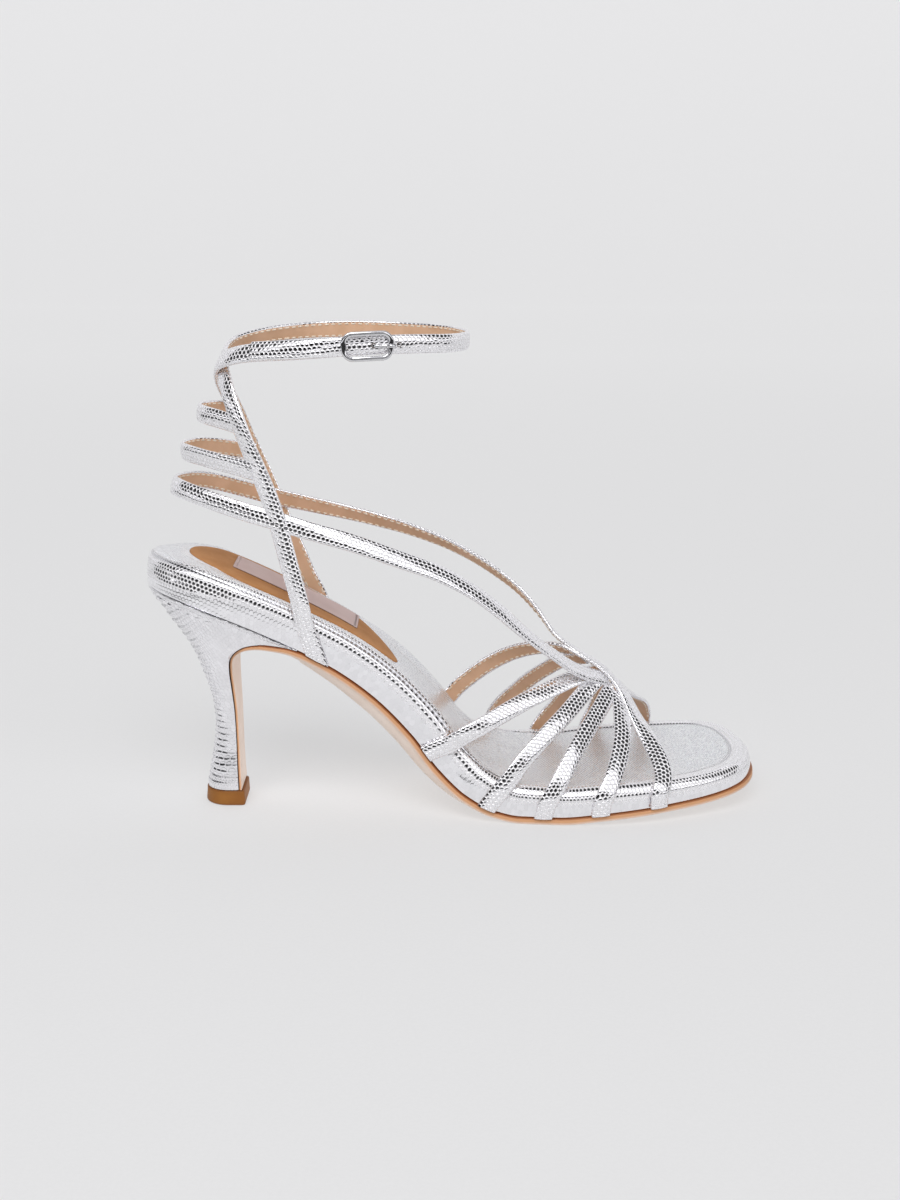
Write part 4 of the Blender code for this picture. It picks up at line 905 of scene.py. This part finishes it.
sole_edge[:sole_count * 13] = np.repeat([0, 0, 0, 0.0, 0.04, 0.08, 0.14, 0.26, 0.52, 0.64, 0.95, 1, 1], sole_count)
toe_part = np.tile(step(-10.0, 40.0, waist_x), 13)
sole_edge[:sole_count * 13] *= 1 - 0.1 * toe_part
outsole = fast_mesh("outsole_leather", sole_pts, sole_quads, sole_loose, [SOLE], attrs={"edge": sole_edge}, sharp=70)
outward(outsole)
finish(outsole, "outsole")

# ------------------------------------------------------------------ heel
Level = namedtuple("Level", "x back round half slope shift")
LEVELS = [Level(*r) for r in sorted(HEEL)]
heel_curves = {k: monotone(LEVELS, k) for k in ("back", "round", "half", "slope", "shift")}
HEEL_FRONT = -44.0
front_line = on_path(np.linspace(0.0, s_join, 220), 0.0, GAP)[:, [0, 2]]
front_line = front_line[front_line[:, 0] < LIP_TIP + 0.01]


def heel_row(z, columns):
    """One U-shaped section, cut at the breast, as evenly spaced points."""
    back, rnd, half, slope, shift = [float(heel_curves[k](z)) for k in ("back", "round", "half", "slope", "shift")]
    gap = front_line[:, 1] - (z + slope * (front_line[:, 0] - back))
    over = np.nonzero(gap > 0)[0]
    if len(over) and over[0] > 0:
        i = over[0]
        f = gap[i - 1] / (gap[i - 1] - gap[i])
        x_front = front_line[i - 1, 0] * (1 - f) + front_line[i, 0] * f
    else:
        x_front = front_line[-1, 0] if not len(over) else front_line[0, 0]
    a = np.linspace(0.0, math.pi / 2, 60)
    side = np.stack([back + rnd * (1 - np.cos(a)), half * np.sin(a)], 1)
    run = np.linspace(0.0, 1.0, 30)[1:]
    start = side[-1, 0]
    side = np.vstack([side, np.stack([start + (HEEL_FRONT - start) * run, half * (1 - 0.04 * run)], 1)])
    side = side[side[:, 0] < x_front]
    edge_y = half * (1 - 0.04 * (x_front - start) / (HEEL_FRONT - start)) if x_front > start else half * math.sin(math.acos(max(-1.0, 1 - (x_front - back) / rnd)))
    side = np.vstack([side, [(x_front, edge_y)]])
    loop = np.vstack([np.stack([side[::-1, 0], shift - side[::-1, 1]], 1), np.stack([side[1:, 0], shift + side[1:, 1]], 1)])
    q = resample(loop, columns)
    return np.stack([q[:, 0], q[:, 1], z + slope * (q[:, 0] - back)], 1)


N_COL, N_ROW = 241, 270
levels = np.linspace(HEEL_BASE, 93.0, 300)
block = np.array([heel_row(z, N_COL) for z in levels])
above = block[..., 2] - (feather(block[..., 0]) - 0.05)
first = np.argmax(above > 0, axis=0)
lower = np.take_along_axis(above, (first - 1)[None], 0)[0]
upper_ = np.take_along_axis(above, first[None], 0)[0]
t_top = first - 1 + lower / (lower - upper_)
t = np.linspace(0.0, 1.0, N_ROW)[:, None] * t_top[None, :]
k = np.clip(np.floor(t).astype(int), 0, len(levels) - 2)
f = (t - k)[..., None]
cols = np.arange(N_COL)[None, :]
heel_grid = block[k, cols] * (1 - f) + block[k + 1, cols] * f
heel_grid = heel_grid.reshape(N_ROW, N_COL, 3)

around = np.concatenate([np.zeros((N_ROW, 1)), np.cumsum(np.linalg.norm(np.diff(heel_grid, axis=1), axis=2), axis=1)], 1)
around = around - around[:, N_COL // 2][:, None]
rise = np.concatenate([np.zeros((1, N_COL)), np.cumsum(np.linalg.norm(np.diff(heel_grid, axis=0), axis=2), axis=0)])
to_seat = rise[-1][None, :] - rise
to_breast = np.minimum(around - around[:, :1], around[:, -1:] - around)
to_back = np.abs(around) / np.maximum(np.abs(around[:, :1]), 1.0)
tall = heel_grid[..., 2]
heel_normals = -grid_normals(heel_grid, False)
side_of = np.sign(np.sum(heel_normals * (heel_grid - heel_grid.mean(1, keepdims=True)), axis=2))
if np.median(side_of) < 0:
    heel_normals = -heel_normals

# Overlapping rows of scales round the back, flatter on the sides and towards the top lift.
heights = np.linspace(0, 100, 401)
row_count = np.cumsum(0.25 / (2.3 + 0.45 * step(30.0, 75.0, heights)))
run = heel_grid[..., 0] - heel_grid[:, N_COL // 2, 0][:, None]
row_at = np.interp(tall - 0.42 * step(34.0, 70.0, tall) * run, heights, row_count)
row_at = row_at + 0.10 * drift(around * 0.25, tall * 0.3, 17) + 0.05 * drift(around * 0.9, tall * 0.4, 19)
saw = row_at - np.floor(row_at)
shingle = saw * (1 - step(0.84, 1.0, saw))
back_gain = 1 - step(0.30, 0.85, to_back)
shingle_gain = back_gain * (0.30 + 0.28 * step(22.0, 62.0, tall)) + 0.03
shingle_gain *= step(1.5, 5.0, to_seat) * step(0.0, 2.0, tall - HEEL_BASE)
bead = 0.16 * np.exp(-((to_seat - 0.75) / 0.5) ** 2) - 0.08 * np.exp(-((to_seat - 1.7) / 0.28) ** 2)
tuck = -0.25 * (1 - step(0.0, 0.7, to_breast)) * step(17.0, 30.0, to_seat) - 0.2 * (1 - step(0.0, 0.5, tall - HEEL_BASE))
heel_grid = heel_grid + heel_normals * (shingle * shingle_gain + bead + tuck)[..., None]
ha = around / 2.6 + 0.2 * drift(around * 0.3, tall * 0.3, 23)
heel_amount = np.clip(0.12 + 0.75 * back_gain + 0.3 * (1 - step(10.0, 40.0, tall)), 0, 1) * step(1.6, 3.0, to_seat)
heel_amount = heel_amount + 0.7 * np.exp(-((tall - HEEL_BASE - 3.0) / 1.3) ** 2) + 0.9 * np.exp(-((to_seat - 1.0) / 0.6) ** 2)
heel_fine = np.maximum(step(0.0, 1.0, 1 - np.abs(to_seat - 1.0) / 1.2), 1 - step(4.0, 6.0, tall - HEEL_BASE))
ha = np.where(heel_fine > 0.5, around / 1.2, ha)
heel_scale = np.stack([ha, row_at, heel_amount], -1).reshape(-1, 3)
# Painted shade: thin dark lines along the steps between the rows of scales, strongest round the back.
broken = 0.6 + 0.4 * drift(around * 0.45, row_at * 1.0, 29)
heel_step_shade = np.exp(-((saw - 0.93) / 0.075) ** 2) * (0.18 + 0.75 * back_gain) * broken * step(2.0, 5.0, to_seat)
heel_step_shade = np.clip(heel_step_shade, 0, 1).ravel()
heel_quads = grid_faces(N_ROW, N_COL, False)
heel_points = heel_grid.reshape(-1, 3)
breast = np.stack([np.arange(N_ROW - 1) * N_COL, (np.arange(N_ROW - 1) + 1) * N_COL,
                   (np.arange(N_ROW - 1) + 1) * N_COL + N_COL - 1, np.arange(N_ROW - 1) * N_COL + N_COL - 1], -1)
j = np.arange(N_COL // 2)
lid = lambda base: np.stack([base + j, base + j + 1, base + N_COL - 2 - j, base + N_COL - 1 - j], -1)
caps = []
for base, turn in ((0, False), ((N_ROW - 1) * N_COL, True)):
    q = lid(base)
    q = q if not turn else q[:, ::-1]
    caps.append(q[:-1])
loose_heel = [[base + N_COL // 2 - 1, base + N_COL // 2, base + N_COL // 2 + 1][::1 if base == 0 else -1]
              for base in (0, (N_ROW - 1) * N_COL)]
heel = fast_mesh("heel_cover", heel_points, np.concatenate([heel_quads, breast, *caps]), loose_heel, [FOIL_HEEL],
                 attrs={"scale": heel_scale, "line": heel_step_shade}, sharp=60)
outward(heel)
finish(heel, "heel")


# ------------------------------------------------------------------ top lift
def lift_ring(z, grow):
    back, front_x, half, shift = -92.4 - grow, -77.5 + 0.5 * grow, 8.7 + grow, -3.0
    side = [(back + 8.8 * (1 - math.cos(a)), half * math.sin(a)) for a in np.linspace(0.0, math.pi / 2, 40)]
    side += [(front_x - 1.2 + 1.2 * math.sin(a), half - 1.2 + 1.2 * math.cos(a)) for a in np.linspace(0.0, math.pi / 2, 9)]
    loop = [(x, shift - y) for x, y in side] + [(x, shift + y) for x, y in side[:0:-1]]
    return [(x, y, z) for x, y in loop]


LIFT_ROWS = [(0.0, -0.25), (0.06, 0.0), (0.22, 0.2), (0.5, 0.32), (1.1, 0.30), (2.2, 0.2), (3.4, 0.1), (4.6, 0.02),
             (5.15, 0.0), (5.4, -0.06), (LIFT_H, -0.28)]
lift_pts = np.array([lift_ring(z, g) for z, g in LIFT_ROWS])
n_lift = lift_pts.shape[1]
lift_edge = np.repeat([1.0, 0.8, 0.5, 0.25, 0.05, 0, 0, 0.1, 0.3, 0.7, 1.0], n_lift)
top_lift = fast_mesh("top_lift_rubber", lift_pts.reshape(-1, 3), grid_faces(len(LIFT_ROWS), n_lift),
                     [list(range(n_lift))[::-1], list(range((len(LIFT_ROWS) - 1) * n_lift, len(LIFT_ROWS) * n_lift))],
                     [LIFT], attrs={"edge": lift_edge}, sharp=50)
outward(top_lift)
finish(top_lift, "top_lift")


# ------------------------------------------------------------------ straps
def nearest_on(axis, p):
    best, point = 1e9, None
    for a, b in zip(axis, axis[1:]):
        a, b = np.array(a, float), np.array(b, float)
        t = min(max(np.dot(p - a, b - a) / np.dot(b - a, b - a), 0.0), 1.0)
        q = a + t * (b - a)
        if np.linalg.norm(p - q) < best:
            best, point = np.linalg.norm(p - q), q
    return point


def strap_rows(strap):
    pts, out = [], []
    for r in strap.foot:
        p, n = wall_at(strap.side, r.x, r.h)
        pts.append(p + (GAP + 0.2 + 0.5 * STRAP_T) * n)
        out.append(n)
    for r in strap.run:
        p = np.array(r, float)
        pts.append(p)
        out.append(unit(p - nearest_on(strap.axis, p)))
    return np.array(pts), np.array(out)


def strap_path(strap, spacing=0.42):
    """Distances, points, tangents, across and outward directions along a strap."""
    pts, out = strap_rows(strap)
    dense = spline(pts, 24)
    w = (np.tile(np.arange(24) / 24.0, len(out) - 1))[:, None]
    dirs = np.vstack([np.repeat(out[:-1], 24, 0) + w * np.repeat(np.diff(out, axis=0), 24, 0), out[-1:]])
    s = lengths(dense)
    t = np.linspace(0.0, s[-1], int(round(s[-1] / spacing)) + 1)
    p = smoothed(at_lengths(dense, s, t), 2, 5)
    n = smoothed(at_lengths(dirs, s, t), 2, 9)
    tangent = unit(np.gradient(p, axis=0))
    n = unit(n - np.sum(n * tangent, axis=1, keepdims=True) * tangent)
    return t, p, tangent, np.cross(n, tangent), n


HALF, THICK = 0.5 * STRAP_W, STRAP_T
outer_k = np.linspace(-1, 1, 21)
sec = [(0.945 * HALF * q, 0.5 * THICK - 0.52 * abs(q) ** 2.6) for q in outer_k]
edge = [(0.985, 0.12), (1.0, -0.16), (0.985, -0.48), (0.945, -0.72), (0.885, -0.83)]
lip = [(0.80, -0.84)]
lining = [(q, -0.90 - 0.02 * (1 - q * q)) for q in np.linspace(0.765, -0.765, 9)]
sec += [(q * HALF, h) for q, h in edge + lip + lining]
sec += [(-q * HALF, h) for q, h in (edge + lip)[::-1]]
SEC = np.array(sec)
N_OUT, N_SEC = len(outer_k), len(sec)
SEC_ROLE = np.zeros(N_SEC, int)
SEC_ROLE[N_OUT + len(edge) + len(lip) - 1:N_OUT + len(edge) + len(lip) + len(lining)] = 1
sec_len = lengths(np.vstack([SEC, SEC[:1]]))
mid_len = sec_len[N_OUT // 2]
SEC_C = sec_len[:-1] - mid_len
SEC_C = np.where(SEC_C > 0.5 * sec_len[-1], SEC_C - sec_len[-1], SEC_C)
SEC_GAIN = np.interp(np.abs(SEC_C), [0, 0.8 * HALF, 1.0 * HALF, 1.3 * HALF, 1.6 * HALF], [1, 1, 0.95, 0.8, 0.4])
sec_t = np.roll(SEC, -1, 0) - np.roll(SEC, 1, 0)
SEC_N = unit(np.stack([-sec_t[:, 1], sec_t[:, 0]], 1))
SEC_N = np.where((np.sum(SEC_N * SEC, axis=1) < 0)[:, None], -SEC_N, SEC_N)


def ribbon(strap, seed):
    """Points, quads, face roles and scale attribute of one folded strap."""
    t, p, tangent, b, n = strap_path(strap)
    skew = np.zeros(len(t))
    if strap.foot:
        k = float(feather_slope(strap.foot[0].x))
        along = unit(np.array([1.0, 0.0, k]))
        along = along if np.dot(along, b[0]) > 0 else -along
        lean = np.clip(np.dot(along, tangent[0]) / max(np.dot(along, b[0]), 0.2), -1.1, 1.1)
        skew = lean * (1 - step(0.0, 9.0, t))
    a, c = scale_place(np.broadcast_to(t[:, None], (len(t), N_SEC)), np.broadcast_to(SEC_C, (len(t), N_SEC)),
                       1.68, 1.68 * ROW, seed, 0.16)
    gain = np.broadcast_to(SEC_GAIN, a.shape)
    lift = 0.03 * scale_dome(a, c) * gain * (SEC_ROLE == 0)
    lift = lift + 0.06 * drift(t * 0.12, 0 * t, seed + 50)[:, None]
    v = SEC[None, :, 0] + SEC_N[None, :, 0] * lift
    h = SEC[None, :, 1] + SEC_N[None, :, 1] * lift
    pts = (p[:, None, :] + b[:, None, :] * v[..., None] + n[:, None, :] * h[..., None]
           + tangent[:, None, :] * (skew[:, None] * SEC[None, :, 0])[..., None])
    quads = grid_faces(len(t), N_SEC)[:, [0, 3, 2, 1]]
    joined = {"instep_lateral": (44.0, 63.0), "instep_medial": (50.5, 64.0)}.get(strap.name, (999.0, 999.0))
    bonded = (p[:-1, 0] > joined[0]) & (p[:-1, 0] < joined[1])
    roles = (np.tile(SEC_ROLE, (len(t) - 1, 1)) * ~bonded[:, None]).ravel()
    return pts.reshape(-1, 3), quads, roles, np.stack([a, c, gain], -1).reshape(-1, 3), len(t)


def stitch_line(strap, start, end):
    """Thread capsules along both edges of a strap's lining."""
    t, p, tangent, b, n = strap_path(strap)
    total = t[-1]
    pts, quads, loose = [], [], []
    ring = np.linspace(0, 2 * math.pi, 7)[:-1]
    base = 0
    for side in (-1.0, 1.0):
        for s in np.arange(start, total - end, 2.55):
            for q, (ds, sink, r) in enumerate(((-0.85, 0.10, 0.14), (-0.55, 0.0, 0.26), (0.0, -0.05, 0.28),
                                               (0.55, 0.0, 0.26), (0.85, 0.10, 0.14))):
                i = int(np.clip(round((s + ds) / total * (len(t) - 1)), 0, len(t) - 1))
                c = p[i] + b[i] * (side * 2.12) + n[i] * (-0.95 + sink)
                for w in ring:
                    pts.append(c + r * (math.cos(w) * b[i] + math.sin(w) * n[i]))
            quads.append(base + grid_faces(5, 6))
            loose += [[base + k for k in range(6)][::-1], [base + 24 + k for k in range(6)]]
            base += 30
    return pts, quads, loose, base


GROUPS = {"upper_fan_lateral": STRAPS[0:4], "upper_fan_medial": STRAPS[4:8], "upper_instep_lateral": STRAPS[8:9],
          "upper_instep_medial": STRAPS[9:10], "upper_wrap_lateral": STRAPS[10:11],
          "upper_wrap_medial": STRAPS[11:12], "upper_rungs": STRAPS[12:14]}
seed = 31
for name, straps in GROUPS.items():
    pts, quads, roles, scale, loose = [], [], [], [], []
    base = 0
    for strap in straps:
        q = ribbon(strap, seed)
        seed += 7
        pts.append(q[0])
        quads.append(q[1] + base)
        roles.append(q[2])
        scale.append(q[3])
        loose += [[base + i for i in range(N_SEC)], [base + (q[4] - 1) * N_SEC + i for i in range(N_SEC)][::-1]]
        base += len(q[0])
    piece = fast_mesh(name, np.concatenate(pts), np.concatenate(quads), loose, [FOIL_STRAP, LINING],
                      slots=np.concatenate(roles + [np.zeros(len(loose), int)]),
                      attrs={"scale": np.concatenate(scale)}, sharp=75)
    finish(piece, "upper")

pts, quads, loose, base = [], [], [], 0
for strap in STRAPS:
    q = stitch_line(strap, 14.0 if strap.foot else 2.0, 3.0)
    pts += q[0]
    quads += [g + base for g in q[1]]
    loose += [[i + base for i in f] for f in q[2]]
    base += q[3]
stitches = fast_mesh("lining_stitches", pts, np.concatenate(quads), loose, [THREAD])
outward(stitches)
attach(stitches, "root")

# ------------------------------------------------------------------ buckle and strap holes
ankle_t, ankle_p, ankle_tan, ankle_b, ankle_n = strap_path(STRAPS[10])
middle_s = float(ankle_t[int(np.argmin(np.linalg.norm(ankle_p - np.array(BUCKLE_AT), axis=1)))])
BUCKLE_L, BUCKLE_W, BUCKLE_BAR = 17.4, 9.8, 1.2
RIDE = 0.5 * STRAP_T * 1.05 + GAP


def over_strap(along, across, lift):
    """Points over the ankle strap's outer face; along runs to the toe."""
    s = middle_s - np.asarray(along, float)
    at = lambda a: np.stack([np.interp(s, ankle_t, a[:, k]) for k in range(3)], -1)
    return at(ankle_p) + at(ankle_b) * np.reshape(across, (-1, 1)) + at(ankle_n) * np.reshape(lift, (-1, 1))


def bar(name, centres, ups, closed, wide, high, sides=16, taper=None):
    """Bar with a rounded, slightly flat section along the centre points."""
    count = len(centres)
    t = unit(np.roll(centres, -1, 0) - np.roll(centres, 1, 0)) if closed else unit(np.gradient(centres, axis=0))
    n = unit(ups - np.sum(ups * t, axis=1, keepdims=True) * t)
    s = np.cross(t, n)
    q = 2 * np.pi * np.arange(sides) / sides
    cs, sn = np.cos(q), np.sin(q)
    shape = np.stack([np.sign(cs) * np.abs(cs) ** 0.8 * 0.5 * wide, np.sign(sn) * np.abs(sn) ** 0.8 * 0.5 * high], 1)
    k = np.ones(count) if taper is None else np.asarray(taper)
    pts = (centres[:, None] + s[:, None] * (shape[None, :, :1] * k[:, None, None])
           + n[:, None] * (shape[None, :, 1:] * k[:, None, None]))
    quads = grid_faces(count, sides, True, closed)
    loose = [] if closed else [list(range(sides))[::-1], list(range((count - 1) * sides, count * sides))]
    obj = fast_mesh(name, pts.reshape(-1, 3), quads, loose, [CHROME], sharp=75)
    return outward(obj)


half_l, half_w, corner = 0.5 * (BUCKLE_L - BUCKLE_BAR), 0.5 * (BUCKLE_W - BUCKLE_BAR), 3.2
plan = []
for cx, cy, start in ((1, 1, 0), (-1, 1, 90), (-1, -1, 180), (1, -1, 270)):
    for w in np.radians(start + np.linspace(0, 90, 14)):
        plan.append((cx * (half_l - corner) + corner * math.cos(w), cy * (half_w - corner) + corner * math.sin(w)))
    if start in (0, 180):
        plan += [(cx * (half_l - corner) * (1 - q / 7), cy * half_w) for q in range(1, 14)]
    else:
        plan += [(cx * half_l, cy * (half_w - corner) * (1 - q / 2)) for q in range(1, 4)]
plan = np.array(plan)
lift = RIDE + 0.5 * BUCKLE_BAR
centres = over_strap(plan[:, 0], plan[:, 1], np.full(len(plan), lift))
ups = over_strap(plan[:, 0], plan[:, 1], np.full(len(plan), lift + 1.0)) - centres
buckle = bar("buckle_frame_polished", centres, ups, True, 1.75, 1.2)
finish(buckle, "buckle_frame")

PRONG_R = 0.5
prong = spline([(2.4, RIDE + 0.1), (3.4, RIDE + PRONG_R), (5.0, RIDE + PRONG_R), (6.6, RIDE + 1.1),
                (7.6, RIDE + BUCKLE_BAR + GAP + PRONG_R), (8.6, RIDE + BUCKLE_BAR + GAP + PRONG_R),
                (9.3, RIDE + BUCKLE_BAR + GAP + PRONG_R - 0.1)], 8)
centres = over_strap(prong[:, 0], np.full(len(prong), 0.1), prong[:, 1])
ups = over_strap(prong[:, 0], np.full(len(prong), 0.1), prong[:, 1] + 1.0) - centres
taper = np.interp(np.arange(len(prong)), [0, 6, len(prong) - 8, len(prong) - 3, len(prong) - 1], [0.9, 1.05, 1.0, 0.85, 0.45])
tongue = bar("buckle_prong_polished", centres, ups, False, 1.1, 0.95, 14, taper)
finish(tongue, "buckle_prong")

# Punched holes of the ankle strap: a dimple in a pressed ring, coloured near-black as painted shade for the inside of
# the hole.
hole_pts, hole_quads, hole_loose, base = [], [], [], 0
w = np.linspace(0, 2 * math.pi, 21)[:-1]
for along in (11.2, 2.2, -6.7):
    for r, h in ((1.05, 0.86), (0.9, 0.955), (0.72, 0.965), (0.58, 0.93), (0.42, 0.915), (0.2, 0.905)):
        hole_pts.append(over_strap(along + r * np.cos(w), r * np.sin(w), np.full(20, h)))
    hole_quads.append(base + grid_faces(6, 20))
    hole_loose += [[base + i for i in range(20)][::-1], [base + 100 + i for i in range(20)]]
    base += 120
holes = fast_mesh("strap_holes", np.concatenate(hole_pts), np.concatenate(hole_quads), hole_loose, [HOLE_SHADE])
outward(holes)
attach(holes, "root")

# ------------------------------------------------------------------ studio
def sweep():
    """Floor that curves up into a backdrop."""
    prof = [(-3.0, 0.0), (2.2, 0.0)]
    prof += [(2.2 + 0.9 * math.sin(a), 0.9 - 0.9 * math.cos(a)) for a in np.linspace(0.05, math.pi / 2, 24)]
    prof += [(3.1, 3.6)]
    prof = np.array(prof)
    xs = np.linspace(-4.0, 4.0, 9)
    verts = [(x, y, z - 0.0002) for y, z in prof for x in xs]
    mesh = bpy.data.meshes.new("studio_floor")
    mesh.from_pydata(verts, [], grid_faces(len(prof), len(xs), False).tolist())
    mesh.shade_smooth()
    obj = bpy.data.objects.new("studio_floor", mesh)
    bpy.context.scene.collection.objects.link(obj)
    m = Mat("studio_paper")
    where = m.node("ShaderNodeTexCoord").outputs["Object"]
    grain = m.noise(where, 900.0, 2.0)[0]
    m.set(Base_Color=m.mix(m.remap(grain, 0.3, 0.7), (0.295, 0.295, 0.297), (0.305, 0.305, 0.307)), Roughness=0.9,
          Emission_Color=(1.0, 1.0, 1.005), Emission_Strength=m.remap(m.split(where)[1], -0.1, 1.5, 0.492, 0.575, False))
    m.shader.inputs["Specular IOR Level"].default_value = 0.1
    mesh.materials.append(m.mat)


sweep()


def tent():
    """Bright tent with an opening on the camera's side, as in a product studio."""
    world = bpy.data.worlds.new("tent")
    bpy.context.scene.world = world
    world.use_nodes = True
    tree = world.node_tree
    back = tree.nodes["Background"]
    coord = tree.nodes.new("ShaderNodeTexCoord")

    def node(kind, **values):
        n = tree.nodes.new(kind)
        for key, value in values.items():
            setattr(n, key, value)
        return n

    def vmath(op, a, b):
        n = node("ShaderNodeVectorMath", operation=op)
        tree.links.new(a, n.inputs[0])
        n.inputs[1].default_value = b
        return n

    def remap(value, lo, hi, a, b):
        n = node("ShaderNodeMapRange", interpolation_type="SMOOTHSTEP")
        tree.links.new(value, n.inputs[0])
        for s, v in zip(n.inputs[1:5], (lo, hi, a, b)):
            s.default_value = v
        return n.outputs[0]

    def mathn(op, *values):
        n = node("ShaderNodeMath", operation=op)
        for socket, value in zip(n.inputs, values):
            if isinstance(value, bpy.types.NodeSocket):
                tree.links.new(value, socket)
            else:
                socket.default_value = value
        return n.outputs[0]

    def multiply(a, b):
        return mathn("MULTIPLY", a, b)

    direction = vmath("NORMALIZE", coord.outputs["Generated"], (0, 0, 0)).outputs[0]
    part = node("ShaderNodeSeparateXYZ")
    tree.links.new(direction, part.inputs[0])
    x, y, z = part.outputs
    turn = mathn("ARCTAN2", x, mathn("MULTIPLY", y, -1.0))
    rise = mathn("ARCSINE", z)
    wide = mathn("POWER", mathn("ABSOLUTE", mathn("MULTIPLY_ADD", turn, 1 / 0.92, 0.30 / 0.92)), 2.0)
    tall = mathn("POWER", mathn("ABSOLUTE", mathn("MULTIPLY_ADD", rise, 1 / 0.28, -0.22 / 0.28)), 2.0)
    front = multiply(remap(mathn("ADD", wide, tall), 0.85, 1.12, 1.0, 0.0), remap(z, 0.02, 0.07, 0.0, 1.0))
    gap = multiply(multiply(remap(y, -0.44, -0.37, 0.0, 1.0), remap(y, 0.24, 0.34, 1.0, 0.0)),
                   remap(z, 0.06, 0.16, 0.0, 1.0))
    light = multiply(remap(front, 0.0, 1.0, 1.0, 0.012), remap(gap, 0.0, 1.0, 1.0, 0.035))
    tree.links.new(multiply(light, remap(y, -0.35, 0.30, 1.35, 0.85)), back.inputs["Strength"])
    back.inputs["Color"].default_value = (1.0, 0.995, 1.02, 1.0)


def flag():
    """Black card lying low in front of the shoe, seen only in its mirror."""
    mesh = bpy.data.meshes.new("flag_front")
    foot = [(1.15, 0.10), (1.05, -0.28), (0.75, -0.50), (-0.62, -0.50), (-0.95, -0.36), (-1.10, -0.08), (-1.05, 0.55)]
    head = [(1.40, 0.14), (1.30, -0.40), (0.90, -0.75), (-0.72, -0.75), (-1.20, -0.52), (-1.38, -0.10), (-1.30, 0.66)]
    mesh.from_pydata([(x, y, 0.0) for x, y in foot] + [(x, y, 0.13) for x, y in head], [],
                     [(k, k + 1, k + 8, k + 7) for k in range(6)])
    obj = bpy.data.objects.new("flag_front", mesh)
    obj.visible_camera = False
    bpy.context.scene.collection.objects.link(obj)
    m = Mat("flag_cloth")
    weave = m.noise(m.node("ShaderNodeTexCoord").outputs["Object"], 700.0, 2.0)[0]
    m.set(Base_Color=m.mix(m.remap(weave, 0.3, 0.7), (0.008, 0.008, 0.008), (0.014, 0.014, 0.014)), Roughness=0.9)
    mesh.materials.append(m.mat)


flag()
tent()


def lamp(name, at, aim, size, power, colour=(1, 1, 1)):
    data = bpy.data.lights.new(name, "AREA")
    data.shape = "RECTANGLE"
    data.size, data.size_y = size
    data.energy = power
    data.color = colour
    obj = bpy.data.objects.new(name, data)
    obj.location = at
    obj.visible_camera = False
    obj.rotation_euler = (Vector(aim) - Vector(at)).to_track_quat("-Z", "Y").to_euler()
    bpy.context.scene.collection.objects.link(obj)


lamp("softbox_front", (-0.15, -0.80, 0.95), (0, 0, 0.08), (0.9, 0.6), 6.4)

camera = bpy.data.cameras.new("camera")
camera.sensor_fit = "VERTICAL"
camera.sensor_height = 36.0
camera.lens = 52.28
camera.clip_start, camera.clip_end = 0.01, 30.0
eye = bpy.data.objects.new("camera", camera)
eye.location = (-0.0023, -0.6384, 0.238)
eye.rotation_euler = (math.radians(90 - 14.335), 0.0, 0.0)
bpy.context.scene.collection.objects.link(eye)
bpy.context.scene.camera = eye
bpy.context.scene.view_settings.view_transform = "Standard"
